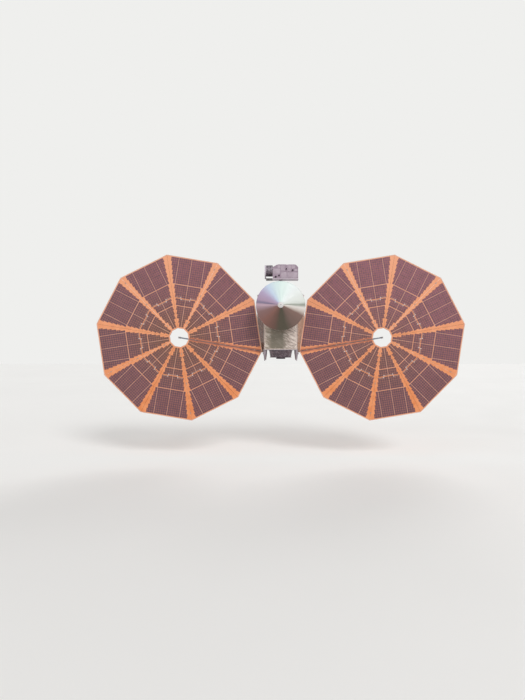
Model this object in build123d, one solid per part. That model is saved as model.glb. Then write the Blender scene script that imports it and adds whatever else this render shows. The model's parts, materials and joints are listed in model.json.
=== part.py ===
# Space probe with two round folding solar wings, a dish with a conical cover and a pointing platform.
# Millimetres. +Z is up, the front is -Y and +X is to the right of someone who looks at the front.
# The origin is the centre of the launch ring's bottom face.
from build123d import *
import math
import os

# Wings: regular decagons of ten rigid gores round an open hub, upright, facing the front.
GORE_COUNT = 10
WING_RADIUS = 3650.0        # hub centre to an outer corner
HUB_RADIUS = 410.0          # hub centre to a corner of the open hub
ROOT_X = 809.0              # the root spoke's corner, out from the probe's middle
ROOT_Z = 274.0
ROOT_DROP = 9.4             # degrees that the root spoke falls from the hub towards the bus
WING_PLANE_Y = -450.0       # middle of the blankets' thickness
BLANKET_THICKNESS = 4.0
CREASE_GAP = 3.0            # blanket edge to its crease line
ROOT_GAP = 15.0             # blanket edge to the root spoke's middle line
BATTEN_WIDTH = 14.0
BATTEN_DEPTH = 9.0
CROSS_BATTEN_SHARES = (0.392, 0.655)   # shares of the outer apothem where a batten crosses a gore's back
SPAR_WIDTH = 24.0
SPAR_DEPTH = 24.0
ROOT_SPAR_DEPTH = 10.0      # shallow, so that the second gore's spar folds over it
SPAR_END_INSET = 20.0       # spar and tube ends, short of the corners

# Crease hinges. Odd creases fold to the back round a spar tube, even ones to the front round short pins.
BACK_AXIS_DEPTH = 22.0      # tube axis behind the blankets' mid plane
TUBE_RADIUS = 14.0
BACK_EYE_RADIUS = 17.5      # to the flats, so that the corners pass under the next blanket
FRONT_AXIS_HEIGHT = 11.0    # pin axis before the blankets' mid plane
PIN_RADIUS = 4.0
KNUCKLE_RADIUS = 7.0
KNUCKLE_SIDES = 8
EYE_CLEARANCE = 0.3
EYE_LENGTH = 30.0
KNUCKLE_LENGTH = 26.0
KNUCKLE_GAP = 2.0           # end play between an eye and its knuckles
CLEAT_LENGTH = 50.0
CLEAT_WIDTH = 13.0
EYE_ARM_WIDTH = 23.0
STATION_COUNT = 3           # hinges along each crease
STATION_HUB_INSET = 310.0   # first hinge from the open hub's corner
STATION_RIM_INSET = 330.0   # last hinge from the wing's corner

# Wing booms, behind the root spokes, and the brackets that hold them on the bus.
BOOM_GAP = 45.0             # boom's front face behind the blankets' mid plane
BOOM_DEPTH = 50.0
BOOM_ROOT_WIDTH = 90.0
BOOM_HUB_WIDTH = 56.0
LUG_WIDTH = 10.0
SPINDLE_RADIUS = 26.0
SPINDLE_LENGTH = 90.0
FORK_LENGTH = 110.0
FORK_WIDTH = 74.0
BRACKET_STANDOFF = 51.0     # boom end and bracket face, out from the root spoke's corner
BRACKET_DEPTH = 60.0
BRACKET_MARGIN = 6.0        # bracket below the boom
BRACKET_HEIGHT = 310.0      # bracket on the bus, above the lower deck
BRACKET_LIP_GAP = 3.0       # bracket to the deck's lip

# Bus: an eight-sided closed body between two decks, wider behind the wings than in front.
# Columns: distance behind the origin, half width there.
BUS_SIDE = ((-850.0, 710.0), (-400.0, 745.0), (300.0, 1050.0), (930.0, 880.0))
DECK_Z = 330.0              # underside of the lower deck
DECK_THICKNESS = 20.0
DECK_LIP = 12.0             # decks stand out past the body's sides
BUS_TOP_Z = 2780.0
BUS_EDGE_RADIUS = 30.0

# Launch ring, engine and thruster pods, under the lower deck.
RING_RADIUS = 468.5         # bolt circle
RING_TOP_RADIUS = 525.0
RING_WALL = 7.0
FLANGE_WIDTH = 36.0
FLANGE_THICKNESS = 12.0
RING_BOLT_COUNT = 24
RING_BOLT_RADIUS = 4.2
BELL_THROAT_RADIUS = 62.0
BELL_MOUTH_RADIUS = 205.0
BELL_DROP = 60.0            # bell mouth below the launch ring
BELL_WALL = 6.0
BELL_PLUG_HEIGHT = 70.0
BELL_BANDS = 6
POD_X = 685.0
POD_FRONT_Y = -790.0
POD_BACK_Y = 840.0
POD_RADIUS = 62.0
POD_TIP_RADIUS = 14.0
POD_TIP_Z = -134.0
POD_COLLAR_HEIGHT = 40.0
POD_SHOULDER_HEIGHT = 150.0

# Dish with its conical cover, on three bipods in front of the bus.
DISH_Z = 2170.0
DISH_RADIUS = 1025.0
DISH_RIM_Y = -1450.0
DISH_FOCUS = 800.0
DISH_WALL = 14.0
RIM_WIDTH = 25.0
RIM_BACK = 22.0
COVER_SIDES = 20
COVER_DEPTH = 360.0
COVER_WALL = 5.0
COVER_INSET = 5.0           # cover's corners inside the rim
CAP_RADIUS = 122.0
CAP_HEIGHT = 46.0
BACK_RING_RADIUS = 540.0
FOOT_CIRCLE_RADIUS = 530.0  # bipod feet on the bus, round the dish's axis
BACK_RING_WIDTH = 36.0
BACK_RING_HEIGHT = 46.0     # ring's flat back behind the dish's vertex plane is negative of this
STRUT_RADIUS = 17.0
STRUT_SPREAD = 30.0         # degrees from a bipod's foot to each of its heads
FOOT_RADIUS = 52.0
FOOT_THICKNESS = 14.0
BOSS_RADIUS = 28.0          # bosses that hold the strut ends, on the feet and on the ring
BOSS_LENGTH = 34.0
BIPOD_ANGLES = (90.0, 210.0, 330.0)

# Mast and two-axis pointing platform, above the bus.
MAST_Y = -300.0
MAST_RADIUS = 52.0
MAST_FOOT_RADIUS = 115.0
MAST_FOOT_THICKNESS = 16.0
DRIVE_RADIUS = 84.0
DRIVE_LOW_Z = 3130.0
TURN_Z = 3250.0             # split between the mast's drive and the turret
TURN_GAP = 0.5
TURRET_RADIUS = 80.0
TURRET_THICKNESS = 22.0
TILT_AXIS_Z = 3330.0
EAR_THICKNESS = 16.0
EAR_RADIUS = 36.0
TILT_HOUSING_RADIUS = 40.0
TILT_HOUSING_LENGTH = 112.0
TILT_GAP = 1.0              # housing end to ear
TILT_PIN_RADIUS = 15.0
TILT_PIN_CLEARANCE = 0.08
PLATE_LOW_Z = 3392.0
PLATE_THICKNESS = 40.0
PLATE_LEFT_X = -640.0
PLATE_RIGHT_X = 765.0
PLATE_DEPTH = 500.0
BOX_HEIGHT = 600.0
BOX_DEPTH = 450.0
# Columns: node name, left x, right x, run and drop of the chamfer on the outer upper edge.
INSTRUMENT_BOXES = (
    ("instrument_box_left", -350.0, 284.0, 200.0, 105.0),
    ("instrument_box_right", 290.0, 757.0, 107.0, 107.0),
)
# Camera ports on the housings' fronts. Columns: x, z, bore radius.
PORTS = ((247.0, 3844.0, 26.0), (-217.0, 3502.0, 40.0), (-74.0, 3558.0, 32.0), (520.0, 3790.0, 34.0))
PORT_DEPTH = 70.0
PORT_WALL = 9.0
PORT_BAFFLE = 30.0          # baffle tube before the housing's front
BARREL_RADIUS = 238.0
BARREL_RIB_RADIUS = 250.0
BARREL_RIB_COUNT = 5
BARREL_Z = 3790.0
BARREL_LEFT_X = -640.0
SHADE_RADIUS = 302.0
SHADE_THICKNESS = 52.0
SHADE_Z = 3734.0
SHADE_RIM_WIDTH = 26.0
SHADE_RIM_HEIGHT = 12.0
DOOR_RADIUS = 196.0         # aperture door on the shade's outer face
DOOR_THICKNESS = 14.0
DOOR_HINGE_RADIUS = 13.0
DOOR_HINGE_LENGTH = 120.0

# Outfit of the decks and of the rear faces.
# Columns: node name, x, y, degrees that the barrel leans out to its side.
STAR_TRACKERS = (("star_tracker_left", -520.0, 420.0, -35.0), ("star_tracker_right", 520.0, 420.0, 35.0))
TRACKER_BASE = 180.0
TRACKER_BASE_HEIGHT = 90.0
TRACKER_RADIUS = 60.0
TRACKER_MOUTH_RADIUS = 105.0
TRACKER_LENGTH = 330.0
TRACKER_WALL = 4.0
HORN_RADIUS = 70.0
HORN_LENGTH = 180.0
HORN_X = 0.0
HORN_TOP_Y = 620.0
HORN_STEM_RADIUS = 22.0
HORN_STEM_LENGTH = 120.0
LOUVER_FRAME = 30.0
LOUVER_DEPTH = 34.0
LOUVER_WIDTH = 520.0
LOUVER_HEIGHT = 900.0
LOUVER_Z = 1500.0
LOUVER_SLATS = 12
LOUVER_SLAT_THICKNESS = 6.0

HALF_GORE = 180.0 / GORE_COUNT
SKIN = BLANKET_THICKNESS / 2
DROP = math.radians(ROOT_DROP)
WING_CENTRE_X = ROOT_X + WING_RADIUS * math.cos(DROP)
WING_CENTRE_Z = ROOT_Z + WING_RADIUS * math.sin(DROP)
FIRST_STATION = HUB_RADIUS + STATION_HUB_INSET
LAST_STATION = WING_RADIUS - STATION_RIM_INSET
STATION_PITCH = (LAST_STATION - FIRST_STATION) / (STATION_COUNT - 1)
HINGE_STATIONS = [FIRST_STATION + index * STATION_PITCH for index in range(STATION_COUNT)]


def save(solid, node):
    """Write one node's STEP file."""
    solid.label = node
    export_step(solid, os.path.join("parts", node + ".step"))


def block(x, y, z):
    """Box from low and high values along each axis."""
    size = [high - low for low, high in (x, y, z)]
    middle = [(high + low) / 2 for low, high in (x, y, z)]
    return Pos(*middle) * Box(*size)


def prism(points, low, high):
    """Upright prism on a closed outline, from one height to another."""
    face = make_face(Polyline(*points, close=True))
    return Pos(0, 0, low) * extrude(face, amount=high - low, dir=(0, 0, 1))


def bar_x(radius, low, high, y, z):
    """Round bar along X."""
    return Pos((low + high) / 2, y, z) * Rot(0, 90, 0) * Cylinder(radius, high - low)


def flat_bar_x(radius, sides, low, high, y, z):
    """Bar along X whose section is a regular polygon round the given radius."""
    outline = RegularPolygon(radius, sides, major_radius=False, rotation=180.0 / sides)
    bar = extrude(Plane.YZ * outline, amount=high - low, dir=(1, 0, 0))
    return Pos(low, y, z) * bar


def bar_between(radius, start, end):
    """Round bar from one point to another."""
    axis = Vector(*end) - Vector(*start)
    plane = Plane(origin=start, z_dir=tuple(axis))
    return plane.location * Cylinder(radius, axis.length, align=(Align.CENTER, Align.CENTER, Align.MIN))


def turned(*lines):
    """Solid of revolution about Z, from the lines of a closed profile of radius and height."""
    edges = [edge for line in lines for edge in line.edges()]
    return revolve(Plane.XZ * make_face(edges), Axis.Z)


def mirrored(solid):
    """The same piece on the other side of the probe."""
    return mirror(solid, about=Plane.YZ)


# Wing frame: X along the root spoke from the hub, Y across it, Z to the front, origin in the hub.
WING_FRAME = Plane(
    origin=(-WING_CENTRE_X, WING_PLANE_Y, WING_CENTRE_Z),
    x_dir=(math.cos(DROP), 0, -math.sin(DROP)),
    z_dir=(0, -1, 0),
)
OUTER_APOTHEM = WING_RADIUS * math.cos(math.radians(HALF_GORE))
INNER_APOTHEM = HUB_RADIUS * math.cos(math.radians(HALF_GORE))


def gore_corner(apothem, setback, last_edge):
    """Where a straight rim line meets the line that runs beside a crease, in a gore's own frame."""
    half = math.radians(HALF_GORE)
    x = (apothem - setback * math.sin(half)) / math.cos(half)
    if not last_edge:
        return (x, setback)
    turn = 2 * half
    return (x * math.cos(turn) + setback * math.sin(turn), x * math.sin(turn) - setback * math.cos(turn))


def gore_strip(inner, outer, first_gap, last_gap, low, high):
    """Prism between two rim lines and two lines beside the creases."""
    corners = [
        gore_corner(inner, first_gap, False),
        gore_corner(outer, first_gap, False),
        gore_corner(outer, last_gap, True),
        gore_corner(inner, last_gap, True),
    ]
    return prism(corners, low, high)


def edge_spar(gap, depth):
    """Box spar on the back of a gore, beside its crease."""
    low = HUB_RADIUS + SPAR_END_INSET
    high = WING_RADIUS - SPAR_END_INSET
    return block((low, high), (gap, gap + SPAR_WIDTH), (-SKIN - depth, -SKIN))


def back_tube():
    """Spar tube on a back crease's axis, with the cleats that hold it on its gore."""
    low = HUB_RADIUS + SPAR_END_INSET
    high = WING_RADIUS - SPAR_END_INSET
    solids = [bar_x(TUBE_RADIUS, low, high, 0, -BACK_AXIS_DEPTH)]
    offset = (EYE_LENGTH + CLEAT_LENGTH) / 2 + KNUCKLE_GAP
    depth = BACK_AXIS_DEPTH - TUBE_RADIUS * 0.6
    for station in HINGE_STATIONS:
        for side in (-1, 1):
            middle = station + side * offset
            span = (middle - CLEAT_LENGTH / 2, middle + CLEAT_LENGTH / 2)
            solids.append(block(span, (CREASE_GAP, CREASE_GAP + CLEAT_WIDTH), (-depth, -SKIN)))
    return solids


def back_eyes():
    """Eyes round the next gore's spar tube, each on an arm under its blanket."""
    solids = []
    for station in HINGE_STATIONS:
        span = (station - EYE_LENGTH / 2, station + EYE_LENGTH / 2)
        eye = flat_bar_x(BACK_EYE_RADIUS, KNUCKLE_SIDES, *span, 0, -BACK_AXIS_DEPTH)
        eye += block(span, (CREASE_GAP, CREASE_GAP + EYE_ARM_WIDTH), (-BACK_AXIS_DEPTH * 0.6, -SKIN))
        bore_span = (span[0] - KNUCKLE_GAP, span[1] + KNUCKLE_GAP)
        solids.append(eye - bar_x(TUBE_RADIUS + EYE_CLEARANCE, *bore_span, 0, -BACK_AXIS_DEPTH))
    return solids


def pin_span(station):
    """Low and high ends of a pin with its two knuckles."""
    reach = EYE_LENGTH / 2 + KNUCKLE_GAP + KNUCKLE_LENGTH
    return (station - reach, station + reach)


def front_knuckles(foot):
    """Pins on a front crease's axis, each between two knuckles that stand on the given foot."""
    solids = []
    for station in HINGE_STATIONS:
        low, high = pin_span(station)
        solids.append(bar_x(PIN_RADIUS, low, high, 0, FRONT_AXIS_HEIGHT))
        for span in ((low, low + KNUCKLE_LENGTH), (high - KNUCKLE_LENGTH, high)):
            solids.append(flat_bar_x(KNUCKLE_RADIUS, KNUCKLE_SIDES, *span, 0, FRONT_AXIS_HEIGHT))
            solids.append(block(span, *foot))
    return solids


def front_eyes(gap):
    """Eyes round the pins of a front crease, each on an arm over its blanket."""
    solids = []
    for station in HINGE_STATIONS:
        span = (station - EYE_LENGTH / 2, station + EYE_LENGTH / 2)
        eye = flat_bar_x(KNUCKLE_RADIUS, KNUCKLE_SIDES, *span, 0, FRONT_AXIS_HEIGHT)
        eye += block(span, (KNUCKLE_RADIUS / 2, gap + EYE_ARM_WIDTH), (SKIN, FRONT_AXIS_HEIGHT - PIN_RADIUS / 2))
        bore_span = (span[0] - KNUCKLE_GAP, span[1] + KNUCKLE_GAP)
        solids.append(eye - bar_x(PIN_RADIUS + EYE_CLEARANCE, *bore_span, 0, FRONT_AXIS_HEIGHT))
    return solids


KNUCKLE_FOOT = ((0.0, CREASE_GAP + CLEAT_WIDTH), (SKIN, FRONT_AXIS_HEIGHT))

# What a gore carries on a radial edge. Columns: blanket edge to crease line, solids.
EDGES = {
    "root eyes": (ROOT_GAP, [edge_spar(ROOT_GAP, ROOT_SPAR_DEPTH)] + front_eyes(ROOT_GAP)),
    "front eyes": (CREASE_GAP, front_eyes(CREASE_GAP)),
    "front pins": (CREASE_GAP, [edge_spar(CREASE_GAP, SPAR_DEPTH)] + front_knuckles(KNUCKLE_FOOT)),
    "back tube": (CREASE_GAP, back_tube()),
    "back eyes": (CREASE_GAP, back_eyes()),
    "free edge": (ROOT_GAP, [edge_spar(ROOT_GAP, SPAR_DEPTH)]),
}
# The four kinds of gore. Columns: first edge, last edge.
GORES = {
    "first": ("root eyes", "back tube"),
    "odd": ("front eyes", "back tube"),
    "even": ("back eyes", "front pins"),
    "last": ("back eyes", "free edge"),
}


def gore(kind):
    """One gore in its own frame, with its first crease along X."""
    first, last = GORES[kind]
    first_gap, first_solids = EDGES[first]
    last_gap, last_solids = EDGES[last]
    solid = gore_strip(INNER_APOTHEM, OUTER_APOTHEM, first_gap, last_gap, -SKIN, SKIN)
    frame_gap = CREASE_GAP + SPAR_WIDTH - 2.0
    low, high = -SKIN - BATTEN_DEPTH, -SKIN
    crossings = [share * OUTER_APOTHEM for share in CROSS_BATTEN_SHARES]
    for inner in (INNER_APOTHEM, *crossings, OUTER_APOTHEM - BATTEN_WIDTH):
        solid += gore_strip(inner, inner + BATTEN_WIDTH, frame_gap, frame_gap, low, high)
    length = (INNER_APOTHEM, OUTER_APOTHEM - BATTEN_WIDTH / 2)
    solid += Rot(0, 0, HALF_GORE) * block(length, (-BATTEN_WIDTH / 2, BATTEN_WIDTH / 2), (low, high))
    for piece in first_solids:
        solid += piece
    for piece in last_solids:
        solid += Rot(0, 0, 2 * HALF_GORE) * mirror(piece, about=Plane.XZ)
    return solid


def gore_kind(number):
    """Kind of the gore with this number, counted from the root spoke."""
    if number == 1:
        return "first"
    if number == GORE_COUNT:
        return "last"
    return "odd" if number % 2 else "even"


def wing_boom():
    """Tapered boom behind the root spoke, from the spindle in the open hub to the bracket, in world axes."""
    front = -BOOM_GAP
    back = -BOOM_GAP - BOOM_DEPTH
    length = WING_CENTRE_X
    outline = [
        (0, -BOOM_HUB_WIDTH / 2),
        (length, -BOOM_ROOT_WIDTH / 2),
        (length, BOOM_ROOT_WIDTH / 2),
        (0, BOOM_HUB_WIDTH / 2),
    ]
    boom = prism(outline, back, front)
    fork = block((-FORK_LENGTH / 2, FORK_LENGTH / 2), (-FORK_WIDTH / 2, FORK_WIDTH / 2), (back, front))
    slot = block((-FORK_LENGTH, 0), (-FORK_WIDTH / 6, FORK_WIDTH / 6), (back - 1, front + 1))
    spindle = Pos(0, 0, front - BOOM_DEPTH / 2) * Cylinder(SPINDLE_RADIUS, SPINDLE_LENGTH)
    boom = boom + fork - slot + spindle
    boom = WING_FRAME.location * boom
    reach = (-2 * WING_RADIUS, 2 * WING_RADIUS)
    return boom - block((-BRACKET_X, BRACKET_X), reach, reach)


def root_hinge():
    """Three lugs that stand on the boom in the slit, with the pins of the root crease."""
    foot = ((-LUG_WIDTH / 2, LUG_WIDTH / 2), (-BOOM_GAP, FRONT_AXIS_HEIGHT))
    solids = front_knuckles(foot)
    hinge = solids[0]
    for solid in solids[1:]:
        hinge += solid
    for station in HINGE_STATIONS:
        hinge += block(pin_span(station), (-LUG_WIDTH, LUG_WIDTH), (-BOOM_GAP, -BOOM_GAP + LUG_WIDTH))
    return WING_FRAME.location * hinge


def bus_half_width(y):
    """Half width of the bus at a distance behind the origin."""
    for (low_y, low), (high_y, high) in zip(BUS_SIDE, BUS_SIDE[1:]):
        if y <= high_y:
            return low + (high - low) * (y - low_y) / (high_y - low_y)
    return BUS_SIDE[-1][1]


BRACKET_X = ROOT_X + BRACKET_STANDOFF
BOOM_END_Z = ROOT_Z + BRACKET_STANDOFF * math.tan(DROP)


def wing_bracket():
    """Bracket between the boom's end and the side of the bus."""
    low_z = BOOM_END_Z - BOOM_ROOT_WIDTH / 2 / math.cos(DROP) - BRACKET_MARGIN
    deck_top = DECK_Z + DECK_THICKNESS
    middle = WING_PLANE_Y + BOOM_GAP + BOOM_DEPTH / 2
    front = middle - BRACKET_DEPTH / 2
    back = middle + BRACKET_DEPTH / 2
    outline = [
        (-BRACKET_X, front),
        (-bus_half_width(front), front),
        (-bus_half_width(back), back),
        (-BRACKET_X, back),
    ]
    bracket = prism(outline, deck_top, deck_top + BRACKET_HEIGHT)
    lip = DECK_LIP + BRACKET_LIP_GAP
    low_outline = [
        (-BRACKET_X, front),
        (-bus_half_width(front) - lip, front),
        (-bus_half_width(back) - lip, back),
        (-BRACKET_X, back),
    ]
    return bracket + prism(low_outline, low_z, deck_top)


def bus_outline():
    """Plan of the bus, closed, as points."""
    right = [(half, y) for y, half in BUS_SIDE]
    return right + [(-x, y) for x, y in reversed(right)]


def bus_body():
    """Closed body between the decks, with soft upright edges."""
    body = prism(bus_outline(), DECK_Z + DECK_THICKNESS, BUS_TOP_Z)
    return fillet(body.edges().filter_by(Axis.Z), BUS_EDGE_RADIUS)


def deck(low):
    """Deck plate that stands out past the body's sides."""
    face = make_face(Polyline(*bus_outline(), close=True))
    face = offset(face, DECK_LIP, kind=Kind.INTERSECTION)
    return Pos(0, 0, low) * extrude(face, amount=DECK_THICKNESS, dir=(0, 0, 1))


def launch_ring():
    """Open conical ring with an upper flange on the deck and a bolt flange at the bottom."""
    inner = RING_RADIUS - FLANGE_WIDTH / 2
    outer = RING_RADIUS + FLANGE_WIDTH / 2
    top_inner = RING_TOP_RADIUS - FLANGE_WIDTH / 2
    top_outer = RING_TOP_RADIUS + FLANGE_WIDTH / 2
    wall_low = RING_RADIUS - FLANGE_WIDTH / 2
    profile = [
        (inner, 0),
        (outer, 0),
        (outer, FLANGE_THICKNESS),
        (wall_low + RING_WALL, FLANGE_THICKNESS),
        (top_inner + RING_WALL, DECK_Z - FLANGE_THICKNESS),
        (top_outer, DECK_Z - FLANGE_THICKNESS),
        (top_outer, DECK_Z),
        (top_inner, DECK_Z),
        (inner, FLANGE_THICKNESS),
    ]
    ring = turned(Polyline(*profile, close=True))
    holes = PolarLocations(RING_RADIUS, RING_BOLT_COUNT) * Cylinder(RING_BOLT_RADIUS, 4 * FLANGE_THICKNESS)
    return ring - holes


def engine_bell():
    """Nozzle of the main engine, open at the bottom, hung from the lower deck."""
    throat_z = DECK_Z - BELL_PLUG_HEIGHT
    height = throat_z + BELL_DROP
    growth = BELL_MOUTH_RADIUS - BELL_THROAT_RADIUS
    outside = []
    for band in range(BELL_BANDS + 1):
        share = band / BELL_BANDS
        outside.append((BELL_THROAT_RADIUS + growth * math.sqrt(share), throat_z - height * share))
    inside = [(radius - BELL_WALL, z) for radius, z in reversed(outside)]
    head = BELL_THROAT_RADIUS * 1.5
    rest = [(0, throat_z + BELL_WALL), (0, DECK_Z), (head, DECK_Z), (head, throat_z + BELL_WALL)]
    return turned(Polyline(*outside, *inside, *rest, close=True))


def thruster_pod(x, y):
    """Tapered pod under a corner of the lower deck."""
    profile = [
        (0, DECK_Z),
        (POD_RADIUS * 1.2, DECK_Z),
        (POD_RADIUS * 1.2, DECK_Z - POD_COLLAR_HEIGHT / 2),
        (POD_RADIUS, DECK_Z - POD_COLLAR_HEIGHT),
        (POD_RADIUS * 0.93, DECK_Z - POD_SHOULDER_HEIGHT),
        (POD_TIP_RADIUS, POD_TIP_Z),
        (0, POD_TIP_Z),
    ]
    return Pos(x, y, 0) * turned(Polyline(*profile, close=True))


def dish_depth(radius):
    """Height of the dish's front surface over its vertex."""
    return radius ** 2 / (4 * DISH_FOCUS)


DISH_FACE_RADIUS = DISH_RADIUS - RIM_WIDTH
RIM_HEIGHT = dish_depth(DISH_FACE_RADIUS)
# Dish frame: Z along the beam to the front, origin at the dish's vertex.
DISH_FRAME = Plane(origin=(0, DISH_RIM_Y + RIM_HEIGHT, DISH_Z), x_dir=(1, 0, 0), z_dir=(0, -1, 0))


def dish_shell():
    """Dish with its rim and the ring on its back that the bipods hold."""
    half = DISH_FACE_RADIUS / 2
    front_in = TangentArc((0, 0), (half, dish_depth(half)), tangent=(1, 0))
    front_out = TangentArc((half, dish_depth(half)), (DISH_FACE_RADIUS, RIM_HEIGHT), tangent=front_in % 1)
    back_in = TangentArc((0, -DISH_WALL), (half, dish_depth(half) - DISH_WALL), tangent=(1, 0))
    back_out = TangentArc(back_in @ 1, (DISH_FACE_RADIUS, RIM_HEIGHT - RIM_BACK), tangent=back_in % 1)
    rim = Polyline(
        (DISH_FACE_RADIUS, RIM_HEIGHT),
        (DISH_RADIUS, RIM_HEIGHT),
        (DISH_RADIUS, RIM_HEIGHT - RIM_BACK),
        (DISH_FACE_RADIUS, RIM_HEIGHT - RIM_BACK),
    )
    axis = Line((0, -DISH_WALL), (0, 0))
    shell = turned(front_in, front_out, rim, back_out, back_in, axis)
    ring_profile = [
        (BACK_RING_RADIUS - BACK_RING_WIDTH / 2, dish_depth(BACK_RING_RADIUS) - DISH_WALL / 2),
        (BACK_RING_RADIUS + BACK_RING_WIDTH / 2, dish_depth(BACK_RING_RADIUS) - DISH_WALL / 2),
        (BACK_RING_RADIUS + BACK_RING_WIDTH / 2, BACK_RING_HEIGHT),
        (BACK_RING_RADIUS - BACK_RING_WIDTH / 2, BACK_RING_HEIGHT),
    ]
    shell += turned(Polyline(*ring_profile, close=True))
    return DISH_FRAME.location * shell


def flat_cone(low_radius, low, high_radius, high, sides):
    """Solid between two level regular polygons, with flat sides."""
    turns = [2 * math.pi * index / sides for index in range(sides)]
    lower = [(low_radius * math.cos(turn), low_radius * math.sin(turn), low) for turn in turns]
    upper = [(high_radius * math.cos(turn), high_radius * math.sin(turn), high) for turn in turns]
    outlines = [lower, upper]
    for index in range(sides):
        after = (index + 1) % sides
        outlines.append([lower[index], lower[after], upper[after], upper[index]])
    return Solid(Shell([Face(Wire.make_polygon(outline)) for outline in outlines]))


def dish_cover():
    """Thin many-sided tent from the dish's rim up to the cap."""
    low = RIM_HEIGHT
    high = RIM_HEIGHT + COVER_DEPTH
    outer = DISH_RADIUS - COVER_INSET
    slope = (outer - CAP_RADIUS) / COVER_DEPTH
    shift = COVER_WALL * math.hypot(slope, 1)
    tent = flat_cone(outer, low, CAP_RADIUS, high, COVER_SIDES)
    inside = flat_cone(outer - shift, low, CAP_RADIUS - COVER_WALL, high - COVER_WALL, COVER_SIDES)
    return DISH_FRAME.location * (tent - inside)


def dish_cap():
    """Domed cap on the cover's tip, over the feed."""
    low = RIM_HEIGHT + COVER_DEPTH
    shoulder = (CAP_RADIUS, low + CAP_HEIGHT / 3)
    dome = TangentArc((0, low + CAP_HEIGHT), shoulder, tangent=(1, 0))
    rest = Polyline((0, low + CAP_HEIGHT), (0, low), (CAP_RADIUS, low), shoulder)
    return DISH_FRAME.location * turned(dome, rest)


def dish_bipod(angle):
    """Two struts from one foot on the bus to two heads on the dish's back ring."""
    front_y = BUS_SIDE[0][0]
    head_y = DISH_RIM_Y + RIM_HEIGHT - BACK_RING_HEIGHT

    def point(circle_radius, turn, y):
        x = circle_radius * math.cos(math.radians(turn))
        z = DISH_Z + circle_radius * math.sin(math.radians(turn))
        return (x, y, z)

    foot_y = front_y - FOOT_THICKNESS
    boss_y = foot_y - BOSS_LENGTH
    foot = FOOT_CIRCLE_RADIUS
    bipod = bar_between(FOOT_RADIUS, point(foot, angle, front_y), point(foot, angle, foot_y))
    bipod += bar_between(BOSS_RADIUS, point(foot, angle, foot_y), point(foot, angle, boss_y))
    start = point(foot, angle, (foot_y + boss_y) / 2)
    head = BACK_RING_RADIUS
    for turn in (angle - STRUT_SPREAD, angle + STRUT_SPREAD):
        low_y = head_y + BOSS_LENGTH
        bipod += bar_between(BOSS_RADIUS, point(head, turn, head_y), point(head, turn, low_y))
        bipod += bar_between(STRUT_RADIUS, start, point(head, turn, (head_y + low_y) / 2))
    return bipod


def mast():
    """Post on the upper deck, with the azimuth drive's housing at its top."""
    low = BUS_TOP_Z + DECK_THICKNESS
    profile = [
        (0, low),
        (MAST_FOOT_RADIUS, low),
        (MAST_FOOT_RADIUS, low + MAST_FOOT_THICKNESS),
        (MAST_RADIUS, low + 4 * MAST_FOOT_THICKNESS),
        (MAST_RADIUS, DRIVE_LOW_Z - 30),
        (DRIVE_RADIUS, DRIVE_LOW_Z),
        (DRIVE_RADIUS, TURN_Z),
        (0, TURN_Z),
    ]
    return Pos(0, MAST_Y, 0) * turned(Polyline(*profile, close=True))


def turret():
    """Turning disc with two ears that hold the tilt pins."""
    low = TURN_Z + TURN_GAP
    solid = Pos(0, MAST_Y, low + TURRET_THICKNESS / 2) * Cylinder(TURRET_RADIUS, TURRET_THICKNESS)
    inner = TILT_HOUSING_LENGTH / 2 + TILT_GAP
    for side in (-1, 1):
        span = sorted((side * inner, side * (inner + EAR_THICKNESS)))
        ear = block(span, (MAST_Y - EAR_RADIUS, MAST_Y + EAR_RADIUS), (low, TILT_AXIS_Z))
        ear += bar_x(EAR_RADIUS, *span, MAST_Y, TILT_AXIS_Z)
        solid += ear - bar_x(TILT_PIN_RADIUS + TILT_PIN_CLEARANCE, span[0] - 1, span[1] + 1, MAST_Y, TILT_AXIS_Z)
    return solid


def platform_plate():
    """Base plate of the platform, with the tilt housing and its pins below it."""
    depth = (MAST_Y - PLATE_DEPTH / 2, MAST_Y + PLATE_DEPTH / 2)
    plate = block((PLATE_LEFT_X, PLATE_RIGHT_X), depth, (PLATE_LOW_Z, PLATE_LOW_Z + PLATE_THICKNESS))
    half = TILT_HOUSING_LENGTH / 2
    reach = half + TILT_GAP + EAR_THICKNESS
    plate += block((-half, half), (MAST_Y - TILT_HOUSING_RADIUS, MAST_Y + TILT_HOUSING_RADIUS), (TILT_AXIS_Z, PLATE_LOW_Z))
    plate += bar_x(TILT_HOUSING_RADIUS, -half, half, MAST_Y, TILT_AXIS_Z)
    return plate + bar_x(TILT_PIN_RADIUS, -reach, reach, MAST_Y, TILT_AXIS_Z)


def instrument_box(left, right, run, drop):
    """Instrument housing on the plate, chamfered on its outer upper edge, with camera ports in its front."""
    low = PLATE_LOW_Z + PLATE_THICKNESS
    high = low + BOX_HEIGHT
    outer, inner = (left, right) if left < 0 else (right, left)
    inward = math.copysign(run, inner - outer)
    profile = Polyline(
        (outer, low), (outer, high - drop), (outer + inward, high), (inner, high), (inner, low), close=True)
    front = MAST_Y - BOX_DEPTH / 2
    box = Pos(0, front, 0) * extrude(Plane.XZ * make_face(profile), amount=BOX_DEPTH, dir=(0, 1, 0))
    for x, z, radius in PORTS:
        if left < x < right:
            box += bar_between(radius + PORT_WALL, (x, front - PORT_BAFFLE, z), (x, front + PORT_WALL, z))
            box -= bar_between(radius, (x, front - PORT_BAFFLE - 1, z), (x, front + PORT_DEPTH, z))
    return box


def telescope():
    """Ribbed barrel that looks to the left, from the left box to the shade."""
    right = INSTRUMENT_BOXES[0][1]
    barrel = bar_x(BARREL_RADIUS, BARREL_LEFT_X, right, MAST_Y, BARREL_Z)
    pitch = (right - BARREL_LEFT_X) / BARREL_RIB_COUNT
    for index in range(BARREL_RIB_COUNT):
        low = BARREL_LEFT_X + (index + 0.3) * pitch
        barrel += bar_x(BARREL_RIB_RADIUS, low, low + 0.4 * pitch, MAST_Y, BARREL_Z)
    return barrel


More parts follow.
